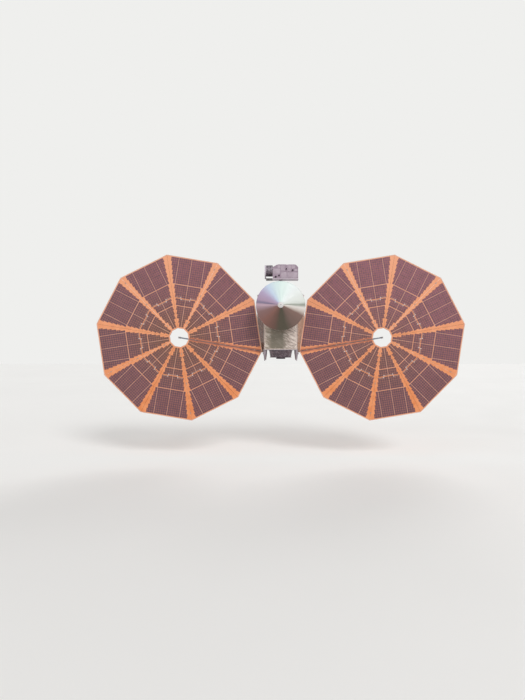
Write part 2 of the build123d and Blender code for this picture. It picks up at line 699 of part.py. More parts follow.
def telescope_shade():
    """Round shade plate across the barrel's front, with a rim and the aperture's hinged door."""
    face = BARREL_LEFT_X - SHADE_THICKNESS + SHADE_RIM_HEIGHT
    shade = bar_x(SHADE_RADIUS, face, BARREL_LEFT_X, MAST_Y, SHADE_Z)
    rim = bar_x(SHADE_RADIUS, face - SHADE_RIM_HEIGHT, face, MAST_Y, SHADE_Z)
    rim -= bar_x(SHADE_RADIUS - SHADE_RIM_WIDTH, face - SHADE_RIM_HEIGHT - 1, face, MAST_Y, SHADE_Z)
    door = bar_x(DOOR_RADIUS, face - DOOR_THICKNESS, face, MAST_Y, SHADE_Z)
    hinge_z = SHADE_Z + DOOR_RADIUS + DOOR_HINGE_RADIUS / 2
    half = DOOR_HINGE_LENGTH / 2
    hinge = bar_between(DOOR_HINGE_RADIUS, (face, MAST_Y - half, hinge_z), (face, MAST_Y + half, hinge_z))
    return shade + rim + door + hinge


def star_tracker(x, y, lean):
    """Star tracker on the upper deck: a wedge-topped base and an open conical baffle."""
    deck_top = BUS_TOP_Z + DECK_THICKNESS
    half = TRACKER_BASE / 2
    base = block((-half, half), (-half, half), (0, TRACKER_BASE_HEIGHT + TRACKER_RADIUS))
    profile = [
        (0, 0),
        (TRACKER_RADIUS, 0),
        (TRACKER_MOUTH_RADIUS, TRACKER_LENGTH),
        (TRACKER_MOUTH_RADIUS - TRACKER_WALL, TRACKER_LENGTH),
        (TRACKER_RADIUS - TRACKER_WALL, 2 * TRACKER_RADIUS),
        (0, 2 * TRACKER_RADIUS),
    ]
    baffle = turned(Polyline(*profile, close=True))
    tracker = base + Pos(0, 0, TRACKER_BASE_HEIGHT) * Rot(0, lean, 0) * baffle
    return Pos(x, y, deck_top) * tracker


def horn():
    """Small open horn on a stem, mouth up."""
    profile = [
        (0, 0),
        (HORN_STEM_RADIUS * 2, 0),
        (HORN_STEM_RADIUS * 2, 10),
        (HORN_STEM_RADIUS, 10),
        (HORN_STEM_RADIUS, HORN_STEM_LENGTH),
        (HORN_RADIUS, HORN_STEM_LENGTH + HORN_LENGTH),
        (HORN_RADIUS - 4, HORN_STEM_LENGTH + HORN_LENGTH),
        (HORN_STEM_RADIUS - 4, HORN_STEM_LENGTH + 10),
        (0, HORN_STEM_LENGTH + 10),
    ]
    return turned(Polyline(*profile, close=True))


def louver():
    """Radiator louver: a frame with slats, its back on the XZ plane, standing out to +Y."""
    width = LOUVER_WIDTH / 2
    height = LOUVER_HEIGHT / 2
    frame = block((-width, width), (0, LOUVER_DEPTH), (-height, height))
    inner_x = width - LOUVER_FRAME
    inner_z = height - LOUVER_FRAME
    frame -= block((-inner_x, inner_x), (LOUVER_DEPTH / 3, LOUVER_DEPTH + 1), (-inner_z, inner_z))
    pitch = 2 * inner_z / LOUVER_SLATS
    for index in range(1, LOUVER_SLATS):
        z = -inner_z + index * pitch
        slat = (z - LOUVER_SLAT_THICKNESS / 2, z + LOUVER_SLAT_THICKNESS / 2)
        frame += block((-inner_x, inner_x), (LOUVER_DEPTH / 3, LOUVER_DEPTH - 4), slat)
    return frame


def side_plane(index, side):
    """Plane on the middle of a side panel of the bus, with its normal outward."""
    (low_y, low), (high_y, high) = BUS_SIDE[index], BUS_SIDE[index + 1]
    along = Vector(side * (high - low), high_y - low_y, 0).normalized()
    normal = along.cross(Vector(0, 0, 1)) * side
    origin = (side * (low + high) / 2, (low_y + high_y) / 2, LOUVER_Z)
    return Plane(origin=origin, x_dir=tuple(normal.cross(Vector(0, 0, 1))), z_dir=(0, 0, 1))


def main():
    """Build every node and write its file."""
    os.makedirs("parts", exist_ok=True)
    save(bus_body(), "bus_body")
    save(deck(DECK_Z), "lower_deck")
    save(deck(BUS_TOP_Z), "upper_deck")
    save(launch_ring(), "launch_ring")
    save(engine_bell(), "engine_bell")
    # Columns: node name, x, y.
    pods = (
        ("thruster_pod_front_left", -POD_X, POD_FRONT_Y),
        ("thruster_pod_front_right", POD_X, POD_FRONT_Y),
        ("thruster_pod_back_left", -POD_X, POD_BACK_Y),
        ("thruster_pod_back_right", POD_X, POD_BACK_Y),
    )
    for node, x, y in pods:
        save(thruster_pod(x, y), node)
    save(dish_shell(), "dish_shell")
    save(dish_cover(), "dish_cover")
    save(dish_cap(), "dish_cap")
    for number, angle in enumerate(BIPOD_ANGLES, 1):
        save(dish_bipod(angle), f"dish_bipod_{number}")
    save(mast(), "mast")
    save(turret(), "turret")
    save(platform_plate(), "platform_plate")
    for node, *sizes in INSTRUMENT_BOXES:
        save(instrument_box(*sizes), node)
    save(telescope(), "telescope")
    save(telescope_shade(), "telescope_shade")
    for node, x, y, lean in STAR_TRACKERS:
        save(star_tracker(x, y, lean), node)
    save(Pos(HORN_X, HORN_TOP_Y, BUS_TOP_Z + DECK_THICKNESS) * horn(), "horn_antenna")
    save(side_plane(2, -1).location * louver(), "louver_left")
    save(side_plane(2, 1).location * louver(), "louver_right")
    save(Pos(0, BUS_SIDE[-1][0], LOUVER_Z) * louver(), "louver_back")
    boom = wing_boom()
    hinge = root_hinge()
    bracket = wing_bracket()
    for node, solid in (("wing_boom", boom), ("root_hinge", hinge), ("wing_bracket", bracket)):
        save(solid, node + "_left")
        save(mirrored(solid), node + "_right")
    kinds = {kind: gore(kind) for kind in GORES}
    for number in range(1, GORE_COUNT + 1):
        turn = 2 * HALF_GORE * (number - 1)
        solid = WING_FRAME.location * Rot(0, 0, turn) * kinds[gore_kind(number)]
        save(solid, f"gore_left_{number:02d}")
        save(mirrored(solid), f"gore_right_{number:02d}")


main()
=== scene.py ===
"""Looks of a space probe with two round folding wings, a covered dish and a pointing platform.

Metres. +Z is up, the front is -Y and +X is to the right of someone who looks at the front.
"""
import json
import logging
import math
import random
from collections.abc import Iterator
from contextlib import AbstractContextManager, contextmanager
from dataclasses import dataclass
from enum import Enum

import bmesh
import bpy
from mathutils import Matrix, Vector, noise


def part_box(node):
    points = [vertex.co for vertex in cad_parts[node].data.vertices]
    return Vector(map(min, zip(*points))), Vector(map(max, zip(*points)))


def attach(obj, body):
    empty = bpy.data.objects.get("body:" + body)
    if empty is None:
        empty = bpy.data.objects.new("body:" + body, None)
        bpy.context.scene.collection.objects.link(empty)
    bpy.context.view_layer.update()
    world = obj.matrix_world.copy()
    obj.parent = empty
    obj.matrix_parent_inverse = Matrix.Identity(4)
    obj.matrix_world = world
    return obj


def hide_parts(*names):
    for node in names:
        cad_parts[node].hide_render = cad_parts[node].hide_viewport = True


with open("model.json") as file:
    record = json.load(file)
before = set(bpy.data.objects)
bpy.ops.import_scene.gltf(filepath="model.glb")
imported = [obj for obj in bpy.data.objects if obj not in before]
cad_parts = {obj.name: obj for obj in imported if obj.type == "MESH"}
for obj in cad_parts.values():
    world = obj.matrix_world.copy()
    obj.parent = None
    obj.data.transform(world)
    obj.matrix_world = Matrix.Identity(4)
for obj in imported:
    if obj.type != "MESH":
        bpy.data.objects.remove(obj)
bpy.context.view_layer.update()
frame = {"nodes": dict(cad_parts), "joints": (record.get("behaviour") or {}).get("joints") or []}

LOG = logging.getLogger("probe")
logging.basicConfig(level=logging.INFO, format="%(message)s")

Bm = bmesh.types.BMesh
Material = bpy.types.Material
Socket = bpy.types.NodeSocket
Tree = bpy.types.NodeTree
Point = Vector | tuple[float, float, float]
Stops = tuple[tuple[float, str], ...]


class Side(Enum):
    """The two sides of the probe, as seen by someone who looks at its front."""

    LEFT = "left"
    RIGHT = "right"


def linear(colour: str) -> tuple[float, float, float, float]:
    """Turn an sRGB hex colour to the linear values that a shader takes.

    Args:
        colour: Six hex digits after a hash.

    Returns:
        Red, green, blue and a full alpha.
    """
    values = []
    for start in (1, 3, 5):
        share = int(colour[start:start + 2], 16) / 255
        values.append(share / 12.92 if share <= 0.04045 else ((share + 0.055) / 1.055) ** 2.4)
    return (*values, 1.0)


def feed(tree: Tree, node: bpy.types.Node, sockets: dict[str | int, object]) -> None:
    """Give a node's inputs their values and links.

    Args:
        tree: The node tree.
        node: The node.
        sockets: Input name or number, to a value or to the output socket that feeds it.
    """
    for name, value in sockets.items():
        if isinstance(value, Socket):
            tree.links.new(value, node.inputs[name])
        else:
            node.inputs[name].default_value = value


def add(
        tree: Tree, kind: str, sockets: dict[str | int, object] | None = None, output: str = "", stops: Stops = (),
        **settings: object) -> Socket | None:
    """Add one shader node with its settings and links.

    Args:
        tree: The node tree.
        kind: The node's type, without its ShaderNode prefix.
        sockets: What its inputs are fed.
        output: Name of the wanted output, if that isn't the first one in use.
        stops: A colour ramp's places from 0 to 1, with their colours.
        settings: Attributes of the node.

    Returns:
        The output socket, or None from a node that has none.
    """
    node = tree.nodes.new("ShaderNode" + kind)
    for name, value in settings.items():
        setattr(node, name, value)
    for index, (place, colour) in enumerate(stops):
        elements = node.color_ramp.elements
        element = elements[index] if index < 2 else elements.new(place)
        element.position = place
        element.color = linear(colour)
    feed(tree, node, sockets or {})
    return node.outputs[output] if output else next((socket for socket in node.outputs if socket.enabled), None)


@dataclass(frozen=True)
class Finish:
    """A surface with a colour that drifts a little and fine relief.

    The drift and the relief are two noises on object coordinates, sized in millimetres.
    """

    name: str
    light: str
    dark: str
    metallic: float
    roughness: float
    roughness_spread: float
    patch_mm: float
    grain_mm: float
    relief_mm: float
    coat: float = 0.0
    sheen: float = 0.0

    def pattern(self, tree: Tree, place: Socket) -> Socket:
        """Colour of the finish; kinds of finish with more to draw replace this.

        Args:
            tree: The material's node tree.
            place: Object coordinates.

        Returns:
            The colour's output socket.
        """
        patches = add(tree, "TexNoise", {"Vector": place, "Scale": 1000 / self.patch_mm, "Detail": 4.0})
        return add(tree, "ValToRGB", {"Fac": patches}, stops=((0.35, self.dark), (0.65, self.light)))

    def relief(self, tree: Tree, place: Socket) -> Socket:
        """Height of the fine relief, from 0 to 1.

        Args:
            tree: The material's node tree.
            place: Object coordinates.

        Returns:
            The height's output socket.
        """
        return add(tree, "TexNoise", {"Vector": place, "Scale": 1000 / self.grain_mm, "Detail": 3.0})

    def make(self) -> Material:
        """Make the material, with its roughness drift and its bump.

        Returns:
            The new material.
        """
        material = bpy.data.materials.new(self.name)
        material.use_nodes = True
        tree = material.node_tree
        place = add(tree, "TexCoord", output="Object")
        colour = self.pattern(tree, place)
        height = self.relief(tree, place)
        smudge = add(tree, "TexNoise", {"Vector": place, "Scale": 2500 / self.patch_mm, "Detail": 2.0})
        rough = add(tree, "MapRange", {
            "Value": smudge, "From Min": 0.3, "From Max": 0.7,
            "To Min": self.roughness - self.roughness_spread, "To Max": self.roughness + self.roughness_spread,
        })
        bump = add(tree, "Bump", {"Height": height, "Strength": 1.0, "Distance": self.relief_mm / 1000})
        feed(tree, tree.nodes["Principled BSDF"], {
            "Base Color": colour, "Roughness": rough, "Normal": bump, "Metallic": self.metallic,
            "Coat Weight": self.coat, "Coat Roughness": 0.12, "Sheen Weight": self.sheen,
        })
        return material


@dataclass(frozen=True)
class CrinkledFilm(Finish):
    """Outer layer of a thermal blanket: polyimide film with vapour-deposited aluminium, laid loose.

    Handling leaves sharp creases; bright flecks along them are painted glints and dull ones painted shade. The
    creases lie slantwise, as the film is pulled from its lower corners. Tints across it are painted light and shade.
    """

    # colours of the painted glints on the creases' crests and of the painted shade in their hollows
    painted_glint: str = "#F2E6DC"
    shadow: str = "#5E564C"
    long_mm: float = 260.0          # length of a crease
    short_mm: float = 62.0          # from one crease to the next
    slant_degrees: float = 27.0
    flecks: float = 0.6             # how strongly the painted glints and crease shade show
    across: Stops = ()              # painted light and shade from the left of the probe to its right, at places in metres
    half_reach: float = 1.1         # half of the width that those places share out
    tint_share: float = 0.75
    calm_middle: float = 0.0        # the film is pulled smooth about this place across
    calm_half: float = -1.0         # half the width of the smooth stretch, if there is one
    calm_edge: float = 0.12         # width over which the flecks come back, and their share where it is smooth

    def relief(self, tree: Tree, place: Socket) -> Socket:
        """The creases, long on the slant and close together across it."""
        size = (self.long_mm / 1000, self.short_mm / 1000, self.short_mm / 1000)
        slant = (0.0, math.radians(self.slant_degrees), 0.0)
        turned = add(tree, "Mapping", {"Vector": place, "Rotation": slant, "Scale": size}, vector_type="TEXTURE")
        return add(tree, "TexNoise", {"Vector": turned, "Scale": 1.0, "Detail": 3.0, "Distortion": 0.7})

    def pattern(self, tree: Tree, place: Socket) -> Socket:
        """Drifting tint with painted light and shade across the probe, and painted glints and shade along the creases,
        fewer where the film is pulled smooth.
        """
        side = add(tree, "SeparateXYZ", {"Vector": place}, "X")
        base = super().pattern(tree, place)
        # painted light and shade across the probe, from its left to its right
        if self.across:
            reach = self.half_reach
            share = add(tree, "MapRange", {"Value": side, "From Min": -reach, "From Max": reach})
            stops = tuple(((spot + reach) / (2 * reach), colour) for spot, colour in self.across)
            tints = add(tree, "ValToRGB", {"Fac": share}, stops=stops)
            base = add(tree, "Mix", {"Factor": self.tint_share, "A": base, "B": tints}, data_type="RGBA")
        away = add(tree, "Math", {0: side, 1: self.calm_middle}, operation="SUBTRACT")
        gap = add(tree, "Math", {0: away}, operation="ABSOLUTE")
        lively = add(tree, "MapRange", {
            "Value": gap, "From Min": self.calm_half, "From Max": self.calm_half + self.calm_edge,
            "To Min": self.calm_edge,
        })
        height = self.relief(tree, place)
        # painted glints on the creases' crests and painted shade in their hollows
        for low, high, share, colour in ((0.50, 0.62, 1.0, self.painted_glint), (0.47, 0.36, 0.8, self.shadow)):
            most = share * self.flecks
            edge = add(tree, "MapRange", {"Value": height, "From Min": low, "From Max": high, "To Max": most})
            held = add(tree, "Math", {0: edge, 1: lively}, operation="MULTIPLY")
            base = add(tree, "Mix", {"Factor": held, "A": base, "B": linear(colour)}, data_type="RGBA")
        return base


@dataclass(frozen=True)
class PaintedLightTint(Finish):
    """Taut coated film with painted reflections and shade that change round the dish's axis, panel by panel.

    The coating is a few hundred nanometres of germanium; the tints over it are painted light, pale above and dark
    olive below.
    """

    centre: tuple[float, float, float] = (0.0, 0.0, 0.0)
    stops: Stops = ()
    wobble: float = 0.10            # metres by which noise shifts the tints' edges

    def pattern(self, tree: Tree, place: Socket) -> Socket:
        """Ramp of painted reflections and shade round the axis, broken up a little by noise."""
        clouds = {"Vector": place, "Scale": 1000 / self.patch_mm, "Detail": 3.0}
        cloud = add(tree, "TexNoise", clouds, "Color")
        shift = add(tree, "VectorMath", {0: cloud, 1: (0.5, 0.5, 0.5)}, operation="SUBTRACT")
        small = add(tree, "VectorMath", {0: shift, "Scale": self.wobble}, operation="SCALE")
        moved = add(tree, "VectorMath", {0: place, 1: small}, operation="ADD")
        flat = add(tree, "VectorMath", {0: moved, 1: self.centre}, operation="SUBTRACT")
        parts = add(tree, "SeparateXYZ", {"Vector": flat}).node.outputs
        turn = add(tree, "Math", {0: parts["Z"], 1: parts["X"]}, operation="ARCTAN2")
        share = add(tree, "MapRange", {"Value": turn, "From Min": -math.pi, "From Max": math.pi})
        return add(tree, "ValToRGB", {"Fac": share}, stops=self.stops)


@dataclass(frozen=True)
class CellGlass(Finish):
    """Triple-junction solar cell on germanium under a bonded cover glass.

    The blue-violet antireflection coating over a dark wafer reads purple-brown, browner towards the hub, and no
    two cells match. Painted light makes it paler violet up and to the right. Its thin grid fingers are too fine to
    show, so only every cell's edge is drawn.
    """

    inner: str = "#77523F"
    # painted light: the paler violet that the cells take up and to the right
    violet: str = "#8D586A"

    def pattern(self, tree: Tree, place: Socket) -> Socket:
        """Tone of each cell from its own attributes, a random share and its reach from the hub, and painted light to
        the upper right.
        """
        reach = add(tree, "Attribute", output="Fac", attribute_name="reach")
        tone = add(tree, "Attribute", output="Fac", attribute_name="tone")
        parts = add(tree, "SeparateXYZ", {"Vector": place}).node.outputs
        # painted light from the upper right: cells turn paler violet up and to the right
        slope = add(tree, "Math", {0: parts["X"], 1: 0.22, 2: parts["Z"]}, operation="MULTIPLY_ADD")
        ramp = add(tree, "ValToRGB", {"Fac": reach}, stops=((0.15, self.inner), (0.70, self.light)))
        lift = add(tree, "MapRange", {"Value": slope, "From Min": 0.0, "From Max": 4.8, "To Max": 0.9})
        upper = add(tree, "Mix", {"Factor": lift, "A": ramp, "B": linear(self.violet)}, data_type="RGBA")
        shade = add(tree, "MapRange", {"Value": tone, "To Min": 0.0, "To Max": 0.45})
        return add(tree, "Mix", {"Factor": shade, "A": upper, "B": linear(self.dark)}, data_type="RGBA")


@dataclass(frozen=True)
class WovenComposite(Finish):
    """Fibre fabric set in resin: plain weave, drawn ten times coarser than its 2 mm tows so that it shows."""

    tow_mm: float = 20.0

    def relief(self, tree: Tree, place: Socket) -> Socket:
        """Crossing waves of warp and weft."""
        wave = {"Vector": place, "Scale": 1000 / self.tow_mm / 6.3}
        warp = add(tree, "TexWave", wave, "Fac", bands_direction="X")
        weft = add(tree, "TexWave", wave, "Fac", bands_direction="Z")
        return add(tree, "Math", {0: warp, 1: weft}, operation="MULTIPLY")


@dataclass(frozen=True)
class GoreBlanket(WovenComposite):
    """Amber mesh laminate of a gore, with graphite spars behind it and titanium knuckles in front.

    The laminate is open glass scrim in polyimide, so the light makes it glow orange. Towards the top it is paler, as
    painted light from above.
    """

    # painted light: the paler amber towards the top of the wing
    upper: str = "#F4AC86"
    spar: str = "#2B2724"
    knuckle: str = "#A7A09A"
    front_y: float = -0.4526
    back_y: float = -0.4474
    low_z: float = -2.0
    high_z: float = 4.4

    def pattern(self, tree: Tree, place: Socket) -> Socket:
        """Amber between the two faces, paler to the top as painted light; graphite behind the blanket and bare metal
        before it.
        """
        parts = add(tree, "SeparateXYZ", {"Vector": place}).node.outputs
        # painted light from above: the amber turns paler towards the top
        rise = add(tree, "MapRange", {
            "Value": parts["Z"], "From Min": self.low_z, "From Max": self.high_z, "To Max": 0.8})
        sheet = super().pattern(tree, place)
        base = add(tree, "Mix", {"Factor": rise, "A": sheet, "B": linear(self.upper)}, data_type="RGBA")
        others = (("GREATER_THAN", self.back_y, self.spar), ("LESS_THAN", self.front_y, self.knuckle))
        for test, limit, colour in others:
            past = add(tree, "Math", {0: parts["Y"], 1: limit}, operation=test)
            base = add(tree, "Mix", {"Factor": past, "A": base, "B": linear(colour)}, data_type="RGBA")
        return base


@dataclass(frozen=True)
class PlateWithPaintedShade(Finish):
    """Painted plate whose end past a line is darkened, as painted shade under the barrel."""

    # painted shade: the dark end of the plate under the barrel
    wrap: str = "#2F282E"
    painted_shade_x: float = -0.358

    def pattern(self, tree: Tree, place: Socket) -> Socket:
        """Paint on the right of the line and painted shade on its left."""
        paint = super().pattern(tree, place)
        side = add(tree, "SeparateXYZ", {"Vector": place}, "X")
        # painted shade under the barrel, left of the line
        wrapped = add(tree, "Math", {0: side, 1: self.painted_shade_x}, operation="LESS_THAN")
        return add(tree, "Mix", {"Factor": wrapped, "A": paint, "B": linear(self.wrap)}, data_type="RGBA")


@dataclass(frozen=True)
class Finishes:
    """Every finish of the probe, made once.

    After a finish's name come its light and dark colour, metallic, roughness and its spread, and the width of
    its patches, the width of its grain and the height of its relief in millimetres.
    """

    # Antireflection-coated wafers under polished glass: smooth, with a faint clear coat and painted light up and to
    # the right.
    cell: Material = CellGlass(
        "triple_junction_cell_glass_painted_light", "#704853", "#523843", 0.0, 0.34, 0.05, 400, 30, 0.05, coat=0.25).make()
    # Polyimide carrier film with printed silver interconnects: a matt pink-beige web between the cells.
    carrier: Material = Finish(
        "printed_polyimide_carrier", "#B37763", "#A56954", 0.0, 0.5, 0.06, 350, 20, 0.1).make()
    # Flat harness and edge binding: cream glass cloth tape, slightly satin.
    tape: Material = WovenComposite(
        "cream_glass_cloth_tape", "#E9BBA5", "#D9A892", 0.0, 0.5, 0.05, 500, 10, 0.2).make()
    # Ceramic terminal blocks of the flat harness: pale, matt.
    terminal: Material = Finish("pale_ceramic_terminal", "#DCC8C2", "#CDB7B0", 0.0, 0.5, 0.05, 60, 5, 0.1).make()
    # Salmon silicone-coated cloth that covers the root hinge's edges, duller than the mesh.
    root_tape: Material = WovenComposite(
        "salmon_coated_cloth_tape", "#CE7F62", "#A9644A", 0.0, 0.55, 0.05, 300, 10, 0.2).make()
    # Open glass scrim set in polyimide, the blanket of each gore: amber, with painted light that makes it paler
    # towards the top.
    gore: Material = GoreBlanket(
        "amber_scrim_laminate_painted_light", "#F09A66", "#E4874F", 0.0, 0.5, 0.06, 260, 20, 0.35, tow_mm=24.0).make()
    # Braided graphite tube and plate in epoxy: near black, satin.
    graphite: Material = WovenComposite(
        "graphite_epoxy_laminate", "#3A3330", "#241E1C", 0.0, 0.42, 0.06, 300, 20, 0.15).make()
    # Machined titanium, bead blasted: grey and even.
    titanium: Material = Finish(
        "bead_blasted_titanium", "#A29B99", "#8B8483", 1.0, 0.42, 0.06, 200, 6, 0.05).make()
    # Clear-anodised aluminium plate: pale, satin, faintly mottled.
    aluminium: Material = Finish(
        "clear_anodised_aluminium", "#B9B4BA", "#9C969F", 0.7, 0.38, 0.06, 250, 8, 0.05).make()
    # Loose aluminised film over many thin layers: silver-beige, smooth in the middle and crinkled at the sides, with
    # painted reflections that brighten the sides and painted glints and shade along the creases.
    blanket: Material = CrinkledFilm(
        "aluminised_polyimide_blanket_painted_light", "#8F8678", "#6F675A", 0.45, 0.34, 0.07, 420, 45, 5.0,
        across=(
            (-0.71, "#E0CCBF"), (-0.58, "#BAAB9C"), (-0.38, "#837B6D"), (0.08, "#80786B"), (0.22, "#B5A69B"),
            (0.45, "#D3C0B8"), (0.71, "#E8D6CE"),
        ),
        calm_middle=-0.16, calm_half=0.24).make()
    # The same film on the slanted sides behind the wings, with painted shade on the left and painted light on the
    # right, and painted glints and shade along its creases.
    side_blanket: Material = CrinkledFilm(
        "aluminised_polyimide_side_blanket_painted_light", "#97756A", "#7A5C52", 0.4, 0.38, 0.07, 500, 60, 5.0,
        painted_glint="#D9B79C", shadow="#4B3733", flecks=0.34,
        across=((-1.05, "#4A302F"), (-0.80, "#563A35"), (0.0, "#96776A"), (0.80, "#C6987A"), (1.05, "#D0A17F")),
    ).make()
    # Blanket under the body: mauve grey, with painted glints and shade along its creases.
    under_blanket: Material = CrinkledFilm(
        "dull_underside_blanket_painted_glints", "#84757C", "#61555B", 0.4, 0.42, 0.06, 300, 50, 2.5,
        painted_glint="#A2939A", shadow="#3A3236", long_mm=140, short_mm=45).make()
    # Woven ceramic cloth that wraps the thruster pods: pale grey, matt.
    pod_wrap: Material = WovenComposite(
        "ceramic_cloth_pod_wrap", "#A89DA3", "#8C8187", 0.0, 0.6, 0.05, 160, 10, 0.3).make()
    # Aluminised tape over the blankets' seams and hems: warm silver, nearly smooth, with faint painted glints and
    # shade along its creases.
    foil_tape: Material = CrinkledFilm(
        "aluminised_seam_tape_painted_glints", "#DCC9BF", "#C3B0A6", 0.45, 0.3, 0.05, 200, 20, 0.8,
        painted_glint="#F0E4DC", shadow="#9C8B82", long_mm=60, short_mm=25, flecks=0.4).make()
    # White polyurethane thermal paint, sprayed: fine orange peel.
    paint: Material = Finish("white_thermal_paint", "#E9E6E4", "#D8D3D2", 0.0, 0.5, 0.06, 400, 5, 0.12).make()
    # Conductive grey-lilac paint of the instrument housings: satin, even.
    lilac: Material = Finish(
        "lilac_grey_conductive_paint", "#A995A5", "#958190", 0.1, 0.42, 0.06, 350, 5, 0.1, coat=0.15).make()
    # The same paint on trims and covers, one batch paler.
    pale_lilac: Material = Finish(
        "pale_lilac_conductive_paint", "#BBABB7", "#AB9AA6", 0.1, 0.38, 0.06, 250, 5, 0.1, coat=0.2).make()
    # Platform plate in the pale paint, with painted shade on its end under the barrel.
    plate: Material = PlateWithPaintedShade(
        "platform_plate_painted_shade", "#C9BCC6", "#B4A6B1", 0.1, 0.4, 0.06, 300, 5, 0.1, coat=0.1).make()
    # Black optical paint of the port liners and the cap's screws: matt, swallows light.
    black: Material = Finish("black_optical_paint", "#1E1A1E", "#141114", 0.0, 0.7, 0.05, 200, 4, 0.1).make()
    # Wrapped barrel of the telescope: dark film bands, with painted glints and shade along their creases.
    barrel: Material = CrinkledFilm(
        "dark_wrapped_barrel_film_painted_glints", "#7F707C", "#5E525D", 0.35, 0.42, 0.06, 260, 45, 2.0,
        painted_glint="#A596A4", shadow="#3D343C", long_mm=90, short_mm=40).make()
    # Sun shield disc: enamelled aluminium, the palest surface of the platform.
    shield: Material = Finish(
        "white_enamelled_shield", "#D3C9D3", "#C0B5C1", 0.1, 0.3, 0.05, 300, 10, 0.03).make()
    # Columbium bell, silicide coated: dark, dull, scaled.
    bell: Material = Finish("silicide_coated_columbium", "#6C5F66", "#473D44", 0.6, 0.5, 0.08, 120, 8, 0.3).make()
    # Machined aluminium fittings, hard anodised: grey-blue, satin.
    fitting: Material = Finish("hard_anodised_fitting", "#8C919C", "#6F7480", 0.6, 0.4, 0.06, 150, 6, 0.05).make()
    # Coated lens under its retaining ring: nearly black, with a clear violet sheen.
    lens: Material = Finish("coated_lens_glass", "#2A2236", "#17131F", 0.0, 0.08, 0.02, 60, 40, 0.0, coat=1.0).make()
    # Pressed nylon and polyester lacing over black harness: dark with a soft sheen.
    harness: Material = Finish(
        "laced_harness_sleeve", "#4B4348", "#2E282C", 0.0, 0.6, 0.05, 60, 9, 0.8, sheen=0.2).make()


FINISH: Finishes = Finishes()


def dress(material: Material, *nodes: str) -> None:
    """Give CAD nodes a material in all of their slots.

    Args:
        material: The material.
        nodes: Names of the nodes.
    """
    for name in nodes:
        for slot in frame["nodes"][name].material_slots:
            slot.material = material


@contextmanager
def new_piece(
        name: str, body: str, material: Material, slot: str, smooth: float = 0.0,
        place: Matrix = Matrix()) -> Iterator[Bm]:
    """Lend an empty bmesh to fill, then turn it into a piece that rides on a body.

    Args:
        name: The piece's name.
        body: The CAD body that carries it.
        material: Its material.
        slot: Not used.
        smooth: Edges over this many degrees stay sharp; 0 leaves every face flat.
        place: Where the bmesh's frame lies. A mirrored one turns shapes inside out, so they are turned back.

    Yields:
        The bmesh.
    """
    shape = bmesh.new()
    yield shape
    bmesh.ops.transform(shape, matrix=place, verts=shape.verts)
    if place.determinant() < 0:
        bmesh.ops.reverse_faces(shape, faces=shape.faces)
    bmesh.ops.recalc_face_normals(shape, faces=shape.faces)
    for face in shape.faces:
        face.smooth = smooth > 0
    if smooth > 0:
        for edge in shape.edges:
            edge.smooth = len(edge.link_faces) == 2 and edge.calc_face_angle() < math.radians(smooth)
    mesh = bpy.data.meshes.new(name)
    shape.to_mesh(mesh)
    shape.free()
    mesh.materials.append(material)
    piece = bpy.data.objects.new(name, mesh)
    bpy.context.scene.collection.objects.link(piece)
    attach(piece, body)
    LOG.info("%s: %d faces on %s", name, len(mesh.polygons), body)


def add_box(shape: Bm, low: Point, high: Point, bevel: float = 0.0, place: Matrix = Matrix()) -> None:
    """Add a box between two corners, with soft edges if it is given a bevel.

    Args:
        shape: The bmesh.
        low: Lowest corner.
        high: Highest corner.
        bevel: Width of the edges' bevel.
        place: Where the corners' frame lies.
    """
    middle = (Vector(low) + Vector(high)) / 2
    size = Vector(high) - Vector(low)
    matrix = place @ Matrix.Translation(middle) @ Matrix.Diagonal((*size, 1))
    corners = bmesh.ops.create_cube(shape, size=1, matrix=matrix)["verts"]
    if bevel > 0:
        edges = list({edge for vertex in corners for edge in vertex.link_edges})
        bmesh.ops.bevel(
            shape, geom=edges, offset=bevel, offset_type="OFFSET", segments=2, profile=0.5, affect="EDGES",
            material=-1)


def add_rod(shape: Bm, start: Point, end: Point, radius: float, end_radius: float, sides: int) -> None:
    """Add a closed round rod or cone from one point to another.

    Args:
        shape: The bmesh.
        start: One end.
        end: The other end.
        radius: Radius at the start.
        end_radius: Radius at the end.
        sides: Number of flat sides.
    """
    start, end = Vector(start), Vector(end)
    along = end - start
    matrix = Matrix.Translation((start + end) / 2) @ along.to_track_quat("Z", "Y").to_matrix().to_4x4()
    bmesh.ops.create_cone(
        shape, cap_ends=True, segments=sides, radius1=radius, radius2=end_radius, depth=along.length, matrix=matrix)


def add_screws(
        shape: Bm, centre: Point, axis: int, reach: float, count: int, span: tuple[float, float],
        radii: tuple[float, float], sides: int, first: float = 0.0) -> None:
    """Add a circle of short rods, such as the screws of a cap or the bolts of a flange.

    Args:
        shape: The bmesh.
        centre: The circle's middle.
        axis: 0, 1 or 2 if the rods lie along X, Y or Z.
        reach: The circle's radius.
        count: Number of rods.
        span: Where each starts and ends along the axis.
        radii: Radius at the start and at the end.
        sides: Number of flat sides of each.
        first: Turn of the first rod, as a share of the step between two.
    """
    across = [number for number in range(3) if number != axis]
    for index in range(count):
        turn = (index + first) * math.tau / count
        start = Vector(centre)
        start[across[0]] += reach * math.cos(turn)
        start[across[1]] += reach * math.sin(turn)
        end = start.copy()
        start[axis], end[axis] = span
        add_rod(shape, start, end, *radii, sides)


